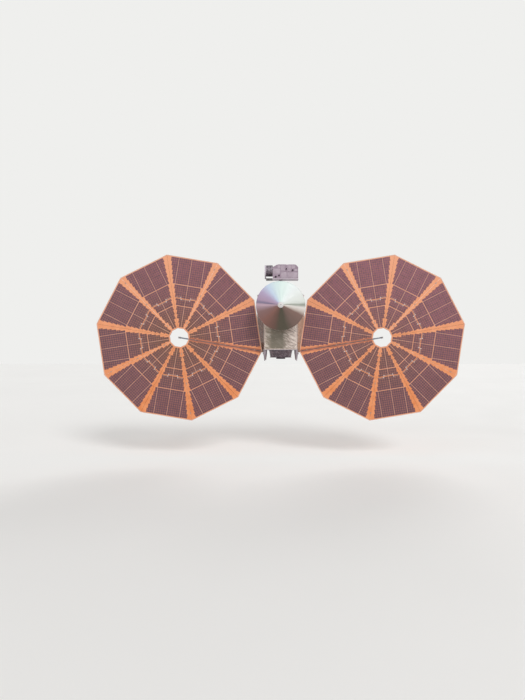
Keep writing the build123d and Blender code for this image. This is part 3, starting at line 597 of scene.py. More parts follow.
def add_ring(shape: Bm, section: list[tuple[float, float]], place: Matrix, steps: int) -> None:
    """Spin a closed section of radius and height about an axis.

    Args:
        shape: The bmesh.
        section: Points of the section, as radius and height.
        place: Frame whose Z is the axis.
        steps: Number of steps round the axis.
    """
    ring = bmesh.new()
    face = ring.faces.new([ring.verts.new((radius, 0, height)) for radius, height in section])
    bmesh.ops.spin(
        ring, geom=[face, *face.edges, *face.verts], cent=(0, 0, 0), axis=(0, 0, 1), angle=math.tau, steps=steps,
        use_merge=True, use_duplicate=False)
    bmesh.ops.remove_doubles(ring, verts=ring.verts, dist=1e-5)
    inner = [face for face in ring.faces if all(len(edge.link_faces) > 2 for edge in face.edges)]
    bmesh.ops.delete(ring, geom=inner, context="FACES_ONLY")
    bmesh.ops.transform(ring, matrix=place, verts=ring.verts)
    mesh = bpy.data.meshes.new("ring")
    ring.to_mesh(mesh)
    ring.free()
    shape.from_mesh(mesh)
    bpy.data.meshes.remove(mesh)


def tube_section(inner: float, outer: float, low: float, high: float) -> list[tuple[float, float]]:
    """Section of a plain tube between two radii and two heights, for add_ring."""
    return [(inner, low), (outer, low), (outer, high), (inner, high)]


@dataclass
class Wing:
    """One wing of ten gores: cells, flat harness and edge bindings on each, over the folding CAD blankets."""

    side: Side
    gore_count: int = 10
    corner_radius: float = 3.650
    hub_radius: float = 0.410
    face_y: float = -0.452          # front face of the blankets
    root_gap: float = 0.015         # blanket edge to the root spoke's middle
    seam_gap: float = 0.004         # end of an edge binding to the crease
    carrier_thickness: float = 0.0012
    cell_thickness: float = 0.0012
    cell_line: float = 0.0085       # bare carrier between two cells
    cell_corner: float = 0.012      # cropped corner of a cell
    column_pitch: float = 0.094
    row_pitch: float = 0.090        # about; each zone stretches it to a whole number of rows
    step_rows: int = 2              # rows between two steps of the staircase beside a crease
    column_gap: float = 0.015       # clear strip for a radial harness
    side_line: float = 0.565        # radial harness beside the middle one, in the outer zone
    # Shares of the apothem: lines across the gore that part its four zones of cells.
    line_shares: tuple[float, float, float] = (0.392, 0.486, 0.655)
    line_clear: float = 0.014       # cells keep this far from a line across
    first_row: float = 0.455
    last_row_inset: float = 0.050
    zone_rows: tuple[int, ...] = (10, 3, 6, 12)
    crease_margin_hub: float = 0.048
    crease_margin_rim: float = 0.172
    crease_clear: float = 0.012     # least distance of a cell from the crease line
    tape_thickness: float = 0.0030
    radial_width: float = 0.011     # width of a radial harness
    cross_width: float = 0.013      # width of a plain harness across the gore
    stepped_width: float = 0.014    # width of the stepped one on the middle line
    line_inset: float = 0.100       # end of a line across to the crease
    dash_inset: float = 0.070       # end of the dashed line to the crease
    dash_count: int = 7
    dash_share: float = 0.76        # drawn part of a dash's pitch
    step_half: float = 0.046        # half of the step in the stepped line
    step_side: float = 0.215        # from the gore's middle to the step
    step_slant: float = 0.020
    terminal_side: float = 0.046
    terminal_place: float = 0.205   # from the gore's middle to the terminals
    binding_width: float = 0.064    # salmon cloth on each side of the root slit
    binding_inset: float = 0.060    # its end to the wing's corner
    rim_width: float = 0.034
    hub_width: float = 0.030

    def __post_init__(self) -> None:
        """Read the hub's place and the root spoke's drop from the frame."""
        joints = {joint["name"]: joint for joint in frame["joints"]}
        hub = joints["wing_left_fold"]["pos_m"]
        spoke = joints["crease_left_2"]["axis"]
        self.hub = Vector((hub[0], self.face_y, hub[2]))
        self.half = math.pi / self.gore_count
        self.first_turn = math.atan2(spoke[2], spoke[0]) - 4 * self.half
        self.slope = math.tan(self.half)
        self.apothem = self.corner_radius * math.cos(self.half)
        self.hub_apothem = self.hub_radius * math.cos(self.half)
        self.mirror = Matrix.Diagonal((-1 if self.side is Side.RIGHT else 1, 1, 1, 1))
        self.pick = random.Random(7)

    def on_gore(self, name: str, number: int, material: Material) -> AbstractContextManager[Bm]:
        """Start a piece that rides on a gore.

        Its frame has X along the gore's middle from the hub, Y across it and Z to the front.

        Args:
            name: Start of the piece's name.
            number: The gore's number, from 1 at the root spoke.
            material: The piece's material.

        Returns:
            The context that lends the bmesh.
        """
        tag = f"{self.side.value}_{number:02d}"
        turn = self.first_turn + (2 * number - 1) * self.half
        along = Vector((math.cos(turn), 0, math.sin(turn)))
        front = Vector((0, -1, 0))
        place = Matrix.Translation(self.hub) @ Matrix((along, front.cross(along), front)).transposed().to_4x4()
        return new_piece(f"{name}_{tag}", f"gore_{tag}", material, "gore", place=self.mirror @ place)

    def blocks(self) -> Iterator[tuple[float, float, float]]:
        """Share the gore out in steps of cells.

        Yields:
            Low and high reach of a step, and its columns on each side, in halves.
        """
        lines = [share * self.apothem for share in self.line_shares]
        lows = [self.first_row] + [line + self.line_clear for line in lines]
        highs = [line - self.line_clear for line in lines] + [self.apothem - self.last_row_inset]
        for low, high, rows in zip(lows, highs, self.zone_rows):
            pitch = (high - low) / rows
            for row in range(0, rows, self.step_rows):
                start = low + row * pitch
                end = low + min(row + self.step_rows, rows) * pitch
                middle = (start + end) / 2
                share = (middle - self.hub_apothem) / (self.apothem - self.hub_apothem)
                margin = self.crease_margin_hub + (self.crease_margin_rim - self.crease_margin_hub) * share
                wanted = (middle * self.slope - margin - self.column_gap / 2) / self.column_pitch
                most = (start * self.slope - self.crease_clear - self.column_gap / 2) / self.column_pitch
                yield start, end, max(1.0, min(round(2 * wanted), int(2 * most)) / 2)

    def stretches(self, start: float, columns: float) -> Iterator[tuple[float, float, int]]:
        """Share a step's columns out in runs on the positive side, with a half column at the crease apart.

        Args:
            start: The step's low reach.
            columns: Its number of columns.

        Yields:
            Low and high place of a run across the gore, and its number of cells.
        """
        near = self.column_gap / 2
        split = round((self.side_line - near) / self.column_pitch)
        count = int(columns)
        if start > self.line_shares[-1] * self.apothem and count > split:
            yield near, self.side_line - near, split
            near += self.side_line
            count -= split
        edge = near + count * self.column_pitch
        yield near, edge, count
        if columns % 1:
            yield edge, edge + self.column_pitch / 2, 1

    def cells(self, number: int) -> None:
        """Carrier strips and cells of one gore. Every face gets its tone and its reach as attributes.

        Args:
            number: The gore's number.
        """
        with (
            self.on_gore("solar_cells", number, FINISH.cell) as cells,
            self.on_gore("cell_carrier", number, FINISH.carrier) as carrier,
        ):
            lift = self.carrier_thickness
            for start, end, columns in self.blocks():
                for sign in (-1, 1):
                    for near, far, count in self.stretches(start, columns):
                        low, high = sorted((sign * near, sign * far))
                        add_box(carrier, (start, low, 0), (end, high, lift))
                        middle = ((start + end) / 2, (low + high) / 2, lift + self.cell_thickness)
                        matrix = Matrix.Translation(middle) @ Matrix.Diagonal((end - start, high - low, 1, 1))
                        rows = round((end - start) / self.row_pitch)
                        bmesh.ops.create_grid(cells, x_segments=rows, y_segments=count, size=0.5, matrix=matrix)
            rims = bmesh.ops.inset_individual(
                cells, faces=list(cells.faces), thickness=self.cell_line / 2, use_even_offset=True)["faces"]
            bmesh.ops.delete(cells, geom=rims, context="FACES")
            bmesh.ops.bevel(
                cells, geom=list(cells.verts), offset=self.cell_corner, offset_type="OFFSET", segments=1,
                profile=0.5, affect="VERTICES", material=-1)
            bmesh.ops.solidify(cells, geom=list(cells.faces), thickness=self.cell_thickness)
            tone = cells.faces.layers.float.new("tone")
            reach = cells.faces.layers.float.new("reach")
            for face in cells.faces:
                face[tone] = self.pick.random()
                face[reach] = face.calc_center_median().x / self.apothem

    def strip(self, shape: Bm, start: tuple[float, float], end: tuple[float, float], width: float) -> None:
        """Add a flat tape from one point of the gore to another.

        Args:
            shape: The bmesh, in the gore's frame.
            start: Reach and place across of one end.
            end: Reach and place across of the other end.
            width: The tape's width.
        """
        first = Vector((*start, 0))
        along = Vector((*end, 0)) - first
        place = Matrix.Translation(first) @ Matrix.Rotation(math.atan2(along.y, along.x), 4, "Z")
        low, high = (0, -width / 2, 0), (along.length, width / 2, self.tape_thickness)
        add_box(shape, low, high, place=place)

    def harness(self, number: int) -> None:
        """Flat harness lines and the bindings of the rim and the hub's edge on one gore.

        Args:
            number: The gore's number.
        """
        low_line, mid_line, high_line = [share * self.apothem for share in self.line_shares]
        rim = self.apothem - self.rim_width / 2
        knot, inner_knot = self.step_side, self.step_side - self.step_slant
        near, far = mid_line - self.step_half, mid_line + self.step_half
        outer = mid_line * self.slope - self.line_inset
        reach = high_line * self.slope - self.line_inset
        dashed = low_line * self.slope - self.dash_inset
        pitch = 2 * dashed / self.dash_count
        with self.on_gore("flat_harness", number, FINISH.tape) as shape:
            self.strip(shape, (self.hub_apothem + self.hub_width, 0), (rim, 0), self.radial_width)
            for side in (-self.side_line, self.side_line):
                self.strip(shape, (high_line, side), (rim, side), self.radial_width)
            self.strip(shape, (high_line, -reach), (high_line, reach), self.cross_width)
            for sign in (-1, 1):
                self.strip(shape, (far, sign * outer), (far, sign * knot), self.stepped_width)
                self.strip(shape, (far, sign * knot), (near, sign * inner_knot), self.stepped_width)
            self.strip(shape, (near, -inner_knot), (near, inner_knot), self.stepped_width)
            for index in range(self.dash_count):
                low = -dashed + (index + (1 - self.dash_share) / 2) * pitch
                self.strip(shape, (low_line, low), (low_line, low + self.dash_share * pitch), self.cross_width)
            for place, width in ((rim, self.rim_width), (self.hub_apothem + self.hub_width / 2, self.hub_width)):
                first = place * self.slope - (self.root_gap if number == 1 else self.seam_gap)
                last = place * self.slope - (self.root_gap if number == self.gore_count else self.seam_gap)
                self.strip(shape, (place, -first), (place, last), width)

    def terminals(self, number: int) -> None:
        """Terminal blocks at the four ends of the steps in the flat harness on one gore.

        Args:
            number: The gore's number.
        """
        line = self.line_shares[1] * self.apothem
        half = self.terminal_side / 2
        with self.on_gore("harness_terminals", number, FINISH.terminal) as shape:
            for sign in (-1, 1):
                for shift in (-self.step_half, self.step_half):
                    spot = (line + shift, sign * (self.terminal_place + shift / 3), 0)
                    place = Matrix.Translation(spot) @ Matrix.Rotation(math.pi / 4, 4, "Z")
                    low, high = (-half, -half, 0), (half, half, 2 * self.tape_thickness)
                    add_box(shape, low, high, 0.001, place)

    def root_binding(self, number: int) -> None:
        """Salmon binding along the root slit of the first or the last gore.

        Args:
            number: 1 or the last number.
        """
        sign = -1 if number == 1 else 1
        turn = Matrix.Rotation(sign * self.half, 4, "Z")
        low, high = sorted((-sign * self.root_gap, -sign * (self.root_gap + self.binding_width)))
        start, end = self.hub_radius + self.hub_width, self.corner_radius - self.binding_inset
        with self.on_gore("root_binding", number, FINISH.root_tape) as shape:
            add_box(shape, (start, low, 0), (end, high, self.tape_thickness), place=turn)

    def hub_fitting(self) -> None:
        """Cap, nut and screws of the spindle in the open hub."""
        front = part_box("wing_boom_left")[0].y
        x, z = self.hub.x, self.hub.z
        with new_piece(
                f"spindle_cap_{self.side.value}", "bus", FINISH.titanium, "strut", 40, self.mirror) as shape:
            add_rod(shape, (x, front + 0.004, z), (x, front - 0.012, z), 0.040, 0.034, 24)
            add_rod(shape, (x, front - 0.010, z), (x, front - 0.026, z), 0.018, 0.018, 6)
            add_screws(shape, (x, 0, z), 1, 0.029, 8, (front - 0.006, front - 0.015), (0.0035, 0.0035), 6)

    def build(self) -> None:
        """Make the cells, harness and bindings of every gore and dress the CAD gores."""
        name = self.side.value
        for number in range(1, self.gore_count + 1):
            self.cells(number)
            self.harness(number)
            self.terminals(number)
            if number in (1, self.gore_count):
                self.root_binding(number)
            dress(FINISH.gore, f"gore_{name}_{number:02d}")
        dress(FINISH.fitting, f"wing_boom_{name}", f"root_hinge_{name}")
        dress(FINISH.side_blanket, f"wing_bracket_{name}")
        self.hub_fitting()


@dataclass
class BusBlankets:
    """Thermal blankets over the bus: one crinkled quilt on each side panel, with taped seams and buttons."""

    # Plan of the bus. Columns: distance behind the origin, half width there.
    plan: tuple[tuple[float, float], ...] = ((-0.850, 0.710), (-0.400, 0.745), (0.300, 1.050), (0.930, 0.880))
    names: tuple[str, ...] = (
        "right_front", "right_middle", "right_back", "back", "left_back", "left_middle", "left_front", "front")
    inward_corners: tuple[int, ...] = (1, 6)    # where the plan turns inwards, counted round from the front right
    end_gap: float = 0.004          # quilt's end to the body's end
    corner: float = 0.030           # bare strip beside an upright edge
    gap: float = 0.002
    thickness: float = 0.0015
    pitch: float = 0.030            # side of one mesh square
    hem: float = 0.050              # strip over which the crumple fades to a flat edge
    crumple: float = 0.010          # height of the creases
    wide_creases: float = 4.2       # about this many to a metre
    fine_creases: float = 11.0
    tape_width: float = 0.050
    hem_tape: float = 0.035
    button_radius: float = 0.013
    button_height: float = 0.017
    button_pitch: float = 0.400
    button_side: float = 0.090      # from an upright edge to the next column of buttons
    button_end: float = 0.100       # from a quilt's end to the next row of buttons
    seed_step: float = 3.7          # shift of the creases from one panel to the next

    def __post_init__(self) -> None:
        """Read the heights from the frame."""
        low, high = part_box("bus_body")
        self.low = low.z + self.end_gap
        self.high = high.z - self.end_gap

    def panels(self) -> Iterator[tuple[str, float, Matrix]]:
        """Go round the side panels from the front right to the front.

        Yields:
            A panel's name, its width and its frame: X along it from its first corner, Y up and Z outwards.
        """
        right = [Vector((half, y, 0)) for y, half in self.plan]
        points = right + [Vector((-point.x, point.y, 0)) for point in reversed(right)]
        up = Vector((0, 0, 1))
        for start, end, name in zip(points, points[1:] + points[:1], self.names):
            along = (end - start).normalized()
            turn = Matrix((along, up, along.cross(up))).transposed().to_4x4()
            yield name, (end - start).length, Matrix.Translation(start) @ turn

    def crease_height(self, u: float, v: float, seed: float) -> float:
        """Height of the crumpled film at a place, with ridges where the cells of two noises meet.

        Args:
            u: Place along the panel.
            v: Place up the panel.
            seed: Shift that makes each panel differ.

        Returns:
            Height over the panel at full strength.
        """
        slant = Vector((u + 0.55 * v, 0.75 * v - 0.2 * u, seed))
        wide, fine = [noise.voronoi(slant * pitch)[0] for pitch in (self.wide_creases, self.fine_creases)]
        ridge = min(1.0, (wide[1] - wide[0]) * 1.5)
        detail = min(1.0, (fine[1] - fine[0]) * 1.5)
        swell = 0.5 + 0.5 * noise.noise(slant * 1.3)
        return self.crumple * (0.55 * ridge + 0.30 * detail + 0.35 * swell)

    def strength(self, name: str, share: float) -> float:
        """How strongly a panel is crumpled: the front one is pulled smooth but for its two sides.

        Args:
            name: The panel's name.
            share: 0 at its first corner to 1 at its last.

        Returns:
            A factor of the crumple.
        """
        if name != "front":
            return 1.0
        right = max(0.0, min(1.0, (share - 0.56) / 0.10))
        left = max(0.0, min(1.0, (0.20 - share) / 0.08))
        return 0.25 + 1.15 * max(right, left)

    def quilt(self, name: str, length: float, place: Matrix, seed: float) -> None:
        """One blanket, crumpled outwards from its panel.

        Args:
            name: The panel's name.
            length: The panel's width.
            place: The panel's frame.
            seed: Shift that makes the panels differ.
        """
        width, height = length - 2 * self.corner, self.high - self.low
        columns, rows = max(2, round(width / self.pitch)), round(height / self.pitch)
        material = FINISH.blanket if name in ("front", "back") else FINISH.side_blanket
        with new_piece(f"bus_quilt_{name}", "bus", material, "blanket", 24) as shape:
            bmesh.ops.create_grid(shape, x_segments=columns, y_segments=rows, size=0.5)
            for vertex in shape.verts:
                u, v = vertex.co.x * width, vertex.co.y * height
                hem = min(1.0, (width / 2 - abs(u)) / self.hem, (height / 2 - abs(v)) / self.hem)
                strength = hem * self.strength(name, vertex.co.x + 0.5)
                rise = self.gap + self.thickness + strength * self.crease_height(u, v, seed)
                vertex.co = place @ Vector((length / 2 + u, self.low + height / 2 + v, rise))
            shape.normal_update()
            bmesh.ops.solidify(shape, geom=list(shape.faces), thickness=self.thickness)

    def seams(self) -> None:
        """Tape down both sides of every panel and along its top and bottom.

        The upright tapes beside an inward corner lie inside the skin, where they don't show.
        """
        edge = self.corner * 0.55
        near, far = self.gap + 0.0005, self.gap + 0.0035
        with new_piece("bus_seam_tape", "bus", FINISH.foil_tape, "blanket") as shape:
            for index, (_, length, place) in enumerate(self.panels()):
                for corner, start in ((index, edge), (index + 1, length - edge - self.tape_width)):
                    inner, outer = (-far, -near) if corner in self.inward_corners else (near, far)
                    low, high = (start, self.low, inner), (start + self.tape_width, self.high, outer)
                    add_box(shape, low, high, place=place)
                for start in (self.low, self.high - self.hem_tape):
                    low = (self.corner, start, self.gap)
                    high = (length - self.corner, start + self.hem_tape, self.gap + 0.005)
                    add_box(shape, low, high, place=place)

    def buttons(self) -> None:
        """Stand-off buttons that hold each quilt, in rows down the panels."""
        rows = round((self.high - self.low) / self.button_pitch)
        with new_piece("bus_quilt_buttons", "bus", FINISH.foil_tape, "blanket", 50) as shape:
            for name, length, place in self.panels():
                columns = max(1, round(length / self.button_pitch) - 1)
                for column in range(columns + 1):
                    u = self.button_side + (length - 2 * self.button_side) * column / columns
                    for row in range(rows + 1):
                        v = self.low + self.button_end
                        v += (self.high - self.low - 2 * self.button_end) * row / rows
                        foot, head = place @ Vector((u, v, 0)), place @ Vector((u, v, self.button_height))
                        add_rod(shape, foot, head, self.button_radius, self.button_radius * 0.7, 12)

    def build(self) -> None:
        """Make the quilts, seams and buttons and dress the bus and its decks."""
        for index, (name, length, place) in enumerate(self.panels()):
            self.quilt(name, length, place, index * self.seed_step)
        self.seams()
        self.buttons()
        dress(FINISH.blanket, "bus_body")
        dress(FINISH.aluminium, "upper_deck", "lower_deck", "louver_left", "louver_right", "louver_back")


@dataclass
class Dish:
    """Covered dish: a taut pleated tent with seams, rim clips and a vented cap, on its bipods."""

    sides: int = 120
    rings: int = 14
    inset: float = 0.004
    thickness: float = 0.003
    pleats: int = 20
    pleat_depth: float = 0.0035
    seam_width: float = 0.010
    clip_count: int = 40
    # Crumple low on the right: its middle and width in degrees, its cells to a metre and its height.
    crumple: tuple[float, float, float, float] = (-12.0, 9.0, 9.0, 0.012)
    # Slack folds beside the panels that glint. Columns: place in degrees from the right, height.
    slack_folds: tuple[tuple[float, float], ...] = ((4.0, -0.010), (176.0, -0.008), (-4.5, 0.008), (168.0, 0.006))
    slack_width: float = 2.6

    def __post_init__(self) -> None:
        """Read the cover's size and place from the frame and make its film."""
        low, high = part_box("dish_cover")
        cap_low, cap_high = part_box("dish_cap")
        rim_low, rim_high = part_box("dish_shell")
        self.centre = Vector(((low.x + high.x) / 2, high.y, (low.z + high.z) / 2))
        self.radius = (rim_high.x - rim_low.x) / 2 - self.inset
        self.depth = high.y - low.y
        self.cap_radius = (cap_high.x - cap_low.x) / 2
        self.cap_front = cap_low.y
        self.place = Matrix.Translation(self.centre) @ Matrix.Rotation(math.pi / 2, 4, "X")
        # Tints of the photographed cover, round from the left by way of below.
        self.film = PaintedLightTint(
            "dish_cover_film_painted_light", "#FFFFFF", "#FFFFFF", 0.08, 0.52, 0.05, 500, 60, 0.5,
            centre=(self.centre.x, 0.0, self.centre.z),
            # painted reflections and shade: dark olive below, a glint and a dark band on the right, pale above
            stops=(
                (0.00, "#B59AA6"), (0.045, "#8A6A68"), (0.12, "#8B6158"), (0.20, "#6E5248"), (0.235, "#585042"),
                (0.29, "#565042"), (0.34, "#766058"), (0.43, "#866A61"), (0.455, "#C6B9B0"), (0.485, "#E9E3DD"),
                (0.507, "#8A9084"), (0.525, "#DCE0D9"), (0.64, "#DDE2E1"), (0.74, "#D9E9E4"), (0.79, "#D5E6E6"),
                (0.845, "#C6D4E8"), (0.90, "#B5A5C2"), (0.955, "#AB92AA"), (0.975, "#7C748E"), (0.99, "#BDA0AE"),
            ),
        ).make()

    def lift(self, place: Vector) -> float:
        """Height of the tent's pleats, crumple and slack folds over its cone.

        Args:
            place: Place on the cone, in the dish's frame.

        Returns:
            The height, 0 at the rim.
        """
        turn = math.atan2(place.y, place.x)
        degrees = math.degrees(turn)
        reach = math.hypot(place.x, place.y) / self.radius
        middle, width, pitch, height = self.crumple
        creases = noise.voronoi(Vector((place.x * pitch, place.y * pitch, 3.1)))[0]
        lift = self.pleat_depth * (0.5 + 0.5 * math.cos(self.pleats * turn))
        lift += height * math.exp(-((degrees - middle) / width) ** 2) * min(1.0, creases[1] - creases[0])
        for spot, fold in self.slack_folds:
            gap = (degrees - spot + 180) % 360 - 180
            lift += fold * math.exp(-(gap / self.slack_width) ** 2)
        return lift * math.sin(math.pi * min(1.0, max(0.0, (1.0 - reach) / 0.88)))

    def tent(self) -> None:
        """The cover: a cone of many rings, with pleats that run in to the cap."""
        with new_piece("cover_tent", "bus", self.film, "cover", 30, self.place) as shape:
            bmesh.ops.create_cone(
                shape, cap_ends=False, segments=self.sides, radius1=self.radius, radius2=self.cap_radius * 0.97,
                depth=self.depth, matrix=Matrix.Translation((0, 0, self.depth / 2)))
            slants = [edge for edge in shape.edges if abs(edge.verts[0].co.z - edge.verts[1].co.z) > 1e-4]
            bmesh.ops.subdivide_edges(shape, edges=slants, cuts=self.rings, use_grid_fill=True)
            for vertex in shape.verts:
                vertex.co.z += self.lift(vertex.co)
            bmesh.ops.recalc_face_normals(shape, faces=shape.faces)
            bmesh.ops.solidify(shape, geom=list(shape.faces), thickness=self.thickness)

    def seams(self) -> None:
        """Narrow tapes over the joints between the tent's panels."""
        run = self.radius - self.cap_radius
        slope = Matrix.Rotation(math.atan2(self.depth, run), 4, "Y")
        half = self.seam_width / 2
        low, high = (0.01 - math.hypot(self.depth, run), -half, 0.0002), (-0.01, half, 0.0022)
        with new_piece("cover_seam_tapes", "bus", self.film, "cover", place=self.place) as shape:
            for index in range(self.pleats):
                turn = Matrix.Rotation((index + 0.5) * math.tau / self.pleats, 4, "Z")
                add_box(shape, low, high, place=turn @ Matrix.Translation((self.radius, 0, 0)) @ slope)

    def rim(self) -> None:
        """Binding round the tent's edge, with a clip over it every few degrees."""
        radius = self.radius
        section = [(radius - 0.022, 0.0), (radius + 0.003, 0.0), (radius + 0.003, 0.006), (radius - 0.006, 0.010)]
        low, high = (radius - 0.030, -0.009, 0.002), (radius + 0.004, 0.009, 0.013)
        with new_piece("cover_rim_binding", "bus", self.film, "cover", 40, self.place) as shape:
            add_ring(shape, section, Matrix(), 120)
            for index in range(self.clip_count):
                add_box(shape, low, high, 0.002, Matrix.Rotation(index * math.tau / self.clip_count, 4, "Z"))

    def cap_trim(self) -> None:
        """Vent plug and screws on the cap."""
        x, z = self.centre.x, self.centre.z
        face = self.centre.y - self.depth - 0.012
        with new_piece("cap_trim", "bus", FINISH.black, "cover", 40) as shape:
            add_screws(shape, (x, 0, z), 1, 0.104, 12, (face, face - 0.020), (0.006, 0.005), 10)
            start, end = (x + 0.010, self.cap_front + 0.004, z + 0.012), (x + 0.010, self.cap_front - 0.004, z + 0.012)
            add_rod(shape, start, end, 0.017, 0.015, 20)

    def build(self) -> None:
        """Make the tent, seams, rim and cap trim and dress the dish and its struts."""
        self.tent()
        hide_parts("dish_cover")
        self.seams()
        self.rim()
        self.cap_trim()
        dress(FINISH.paint, "dish_cap", "dish_shell")
        dress(FINISH.graphite, "dish_bipod_1", "dish_bipod_2", "dish_bipod_3")


@dataclass
class Platform:
    """Pointing platform: panels, apertures, covers, bolts and harness on the instrument housings."""

    panel_lift: float = 0.004
    bolt_radius: float = 0.006
    bolt_height: float = 0.006
    bolt_inset: float = 0.016
    bolt_pitch: float = 0.090
    # Columns: low x, high x, low z, high z of each access panel, between the camera ports and the chamfers.
    panel_places: tuple[tuple[float, float, float, float], ...] = (
        (-0.330, -0.020, 3.630, 3.860), (0.010, 0.260, 3.460, 3.720), (0.010, 0.200, 3.760, 4.005),
        (-0.140, -0.010, 3.890, 4.005), (0.310, 0.735, 3.460, 3.700), (0.310, 0.450, 3.740, 4.005),
        (0.580, 0.735, 3.740, 3.845), (0.475, 0.630, 3.860, 4.005),
    )
    # Columns: x, z and radius of each camera port, open to a floor behind the housing's front.
    ports: tuple[tuple[float, float, float], ...] = (
        (0.247, 3.844, 0.026), (-0.217, 3.502, 0.040), (-0.074, 3.558, 0.032), (0.520, 3.790, 0.034))
    port_floor: float = 0.070
    band_shares: tuple[float, ...] = (0.10, 0.34, 0.58, 0.82)   # places of the bands along the barrel
    fin_count: int = 9
    fin_pitch: float = 0.034

    def __post_init__(self) -> None:
        """Read the housings' boxes from the frame."""
        self.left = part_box("instrument_box_left")
        self.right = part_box("instrument_box_right")
        mast_low, mast_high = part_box("mast")
        self.back_y = self.left[1].y
        self.front_y = mast_low.y + mast_high.y - self.back_y
        self.faces = ((-1, self.front_y), (1, self.back_y))

    def edge_spots(self, low: tuple[float, float], high: tuple[float, float]) -> Iterator[tuple[float, float]]:
        """Share bolts out along the four sides of an upright rectangle.

        Args:
            low: Its lowest x and z.
            high: Its highest x and z.

        Yields:
            A bolt's x and z.
        """
        for axis in (0, 1):
            count = max(1, round((high[axis] - low[axis]) / self.bolt_pitch))
            for index in range(count + 1):
                value = low[axis] + (high[axis] - low[axis]) * index / count
                for edge in (low[1 - axis], high[1 - axis]):
                    yield (edge, value) if axis else (value, edge)

    def panels(self) -> None:
        """Raised access panels on the fronts and backs of both housings, with bolts round their edges."""
        inset, radius = self.bolt_inset, self.bolt_radius
        with (
            new_piece("housing_panel_bolts", "platform", FINISH.titanium, "instrument", 40) as bolts,
            new_piece("housing_access_panels", "platform", FINISH.pale_lilac, "instrument") as panels,
        ):
            for low_x, high_x, low_z, high_z in self.panel_places:
                for sign, face in self.faces:
                    skin = face + sign * self.panel_lift
                    front, back = sorted((face, skin))
                    add_box(panels, (low_x, front, low_z), (high_x, back, high_z), 0.0012)
                    head = skin + sign * self.bolt_height
                    for x, z in self.edge_spots((low_x + inset, low_z + inset), (high_x - inset, high_z - inset)):
                        add_rod(bolts, (x, skin, z), (x, head, z), radius, radius * 0.85, 8)

    def port_liners(self) -> None:
        """Black liners with two glare stops inside the camera ports."""
        mouth = self.left[0].y
        depth = self.front_y + self.port_floor - mouth
        with new_piece("camera_port_liners", "platform", FINISH.black, "instrument", 40) as shape:
            for x, z, radius in self.ports:
                place = Matrix.Translation((x, mouth, z)) @ Matrix.Rotation(-math.pi / 2, 4, "X")
                outer = radius - 0.0004
                add_ring(shape, tube_section(outer - 0.0025, outer, 0.001, depth), place, 40)
                for stop in (depth * 0.35, depth * 0.60):
                    section = [(outer - 0.0080, stop), (outer - 0.0020, stop - 0.002), (outer - 0.0020, stop + 0.002)]
                    add_ring(shape, section, place, 40)

    def lenses(self) -> None:
        """A domed lens at the foot of each camera port."""
        with new_piece("camera_lenses", "platform", FINISH.lens, "instrument", 60) as shape:
            for x, z, radius in self.ports:
                spot = (x, self.front_y + self.port_floor, z)
                place = Matrix.Translation(spot) @ Matrix.Rotation(math.pi / 2, 4, "X")
                clear = radius - 0.0035
                dome = [(clear, 0.008), (clear * 0.75, 0.014), (clear * 0.4, 0.017), (0.0, 0.018)]
                add_ring(shape, [(0.0, 0.0), (clear, 0.0), *dome], place, 40)

    def edge_trim(self) -> None:
        """Strips along the housings' lower edges, with a wider one over their joint and one at the barrel."""
        left, right = self.left[0].x, self.right[1].x
        joint = (self.left[1].x + self.right[0].x) / 2
        low, high = self.left[0].z, self.left[1].z
        with new_piece("housing_edge_trim", "platform", FINISH.pale_lilac, "instrument") as shape:
            for sign, face in self.faces:
                front, back = sorted((face, face + sign * 0.005))
                add_box(shape, (left, front, low), (right, back, low + 0.020), 0.001)
                for start, end, top in (
                        (left, left + 0.020, high - 0.110), (joint - 0.010, joint + 0.010, high - 0.004)):
                    add_box(shape, (start, front, low + 0.022), (end, back, top), 0.001)

    def roof(self) -> None:
        """Ribbed radiators on the housings' tops, and the harness that crosses between them."""
        top = self.left[1].z
        middle = (self.front_y + self.back_y) / 2
        with new_piece("housing_top_radiators", "platform", FINISH.pale_lilac, "instrument") as shape:
            for low_x, high_x in ((-0.120, 0.240), (0.330, 0.620)):
                add_box(shape, (low_x, middle - 0.150, top), (high_x, middle + 0.150, top + 0.006), 0.0015)
                for index in range(self.fin_count):
                    y = middle + (index - (self.fin_count - 1) / 2) * self.fin_pitch
                    add_box(shape, (low_x + 0.010, y - 0.002, top + 0.006), (high_x - 0.010, y + 0.002, top + 0.022))
        with new_piece("housing_top_harness", "platform", FINISH.harness, "instrument", 40) as shape:
            for y in (middle - 0.010, middle + 0.012):
                add_rod(shape, (0.240, y, top + 0.010), (0.330, y, top + 0.010), 0.009, 0.009, 12)

    def barrel_bands(self) -> None:
        """Clamp bands with tensioners round the barrel."""
        low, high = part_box("telescope")
        radius = (high.z - low.z) / 2
        y, z = (high.y + low.y) / 2, (high.z + low.z) / 2
        section = tube_section(radius - 0.014, radius + 0.003, -0.007, 0.007)
        with new_piece("barrel_clamp_bands", "platform", FINISH.aluminium, "instrument", 40) as shape:
            for share in self.band_shares:
                x = low.x + share * (self.left[0].x - low.x)
                add_ring(shape, section, Matrix.Translation((x, y, z)) @ Matrix.Rotation(math.pi / 2, 4, "Y"), 72)
                for spot in (Vector((x, y - radius, z)), Vector((x, y + radius, z))):
                    half = Vector((0.012, 0.010, 0.020))
                    add_box(shape, spot - half, spot + half, 0.002)

    def shade_trim(self) -> None:
        """Screws round the shade's raised rim and round its door."""
        low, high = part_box("telescope_shade")
        centre = (low + high) / 2
        with new_piece("shade_screws", "platform", FINISH.titanium, "shade", 40) as shape:
            for count, reach, size, face in ((36, 0.289, 0.0055, low.x + 0.002), (16, 0.180, 0.0045, low.x)):
                span = (face + 0.002, face - 0.004)
                add_screws(shape, centre, 0, reach, count, span, (size, size * 0.85), 10, 0.5)

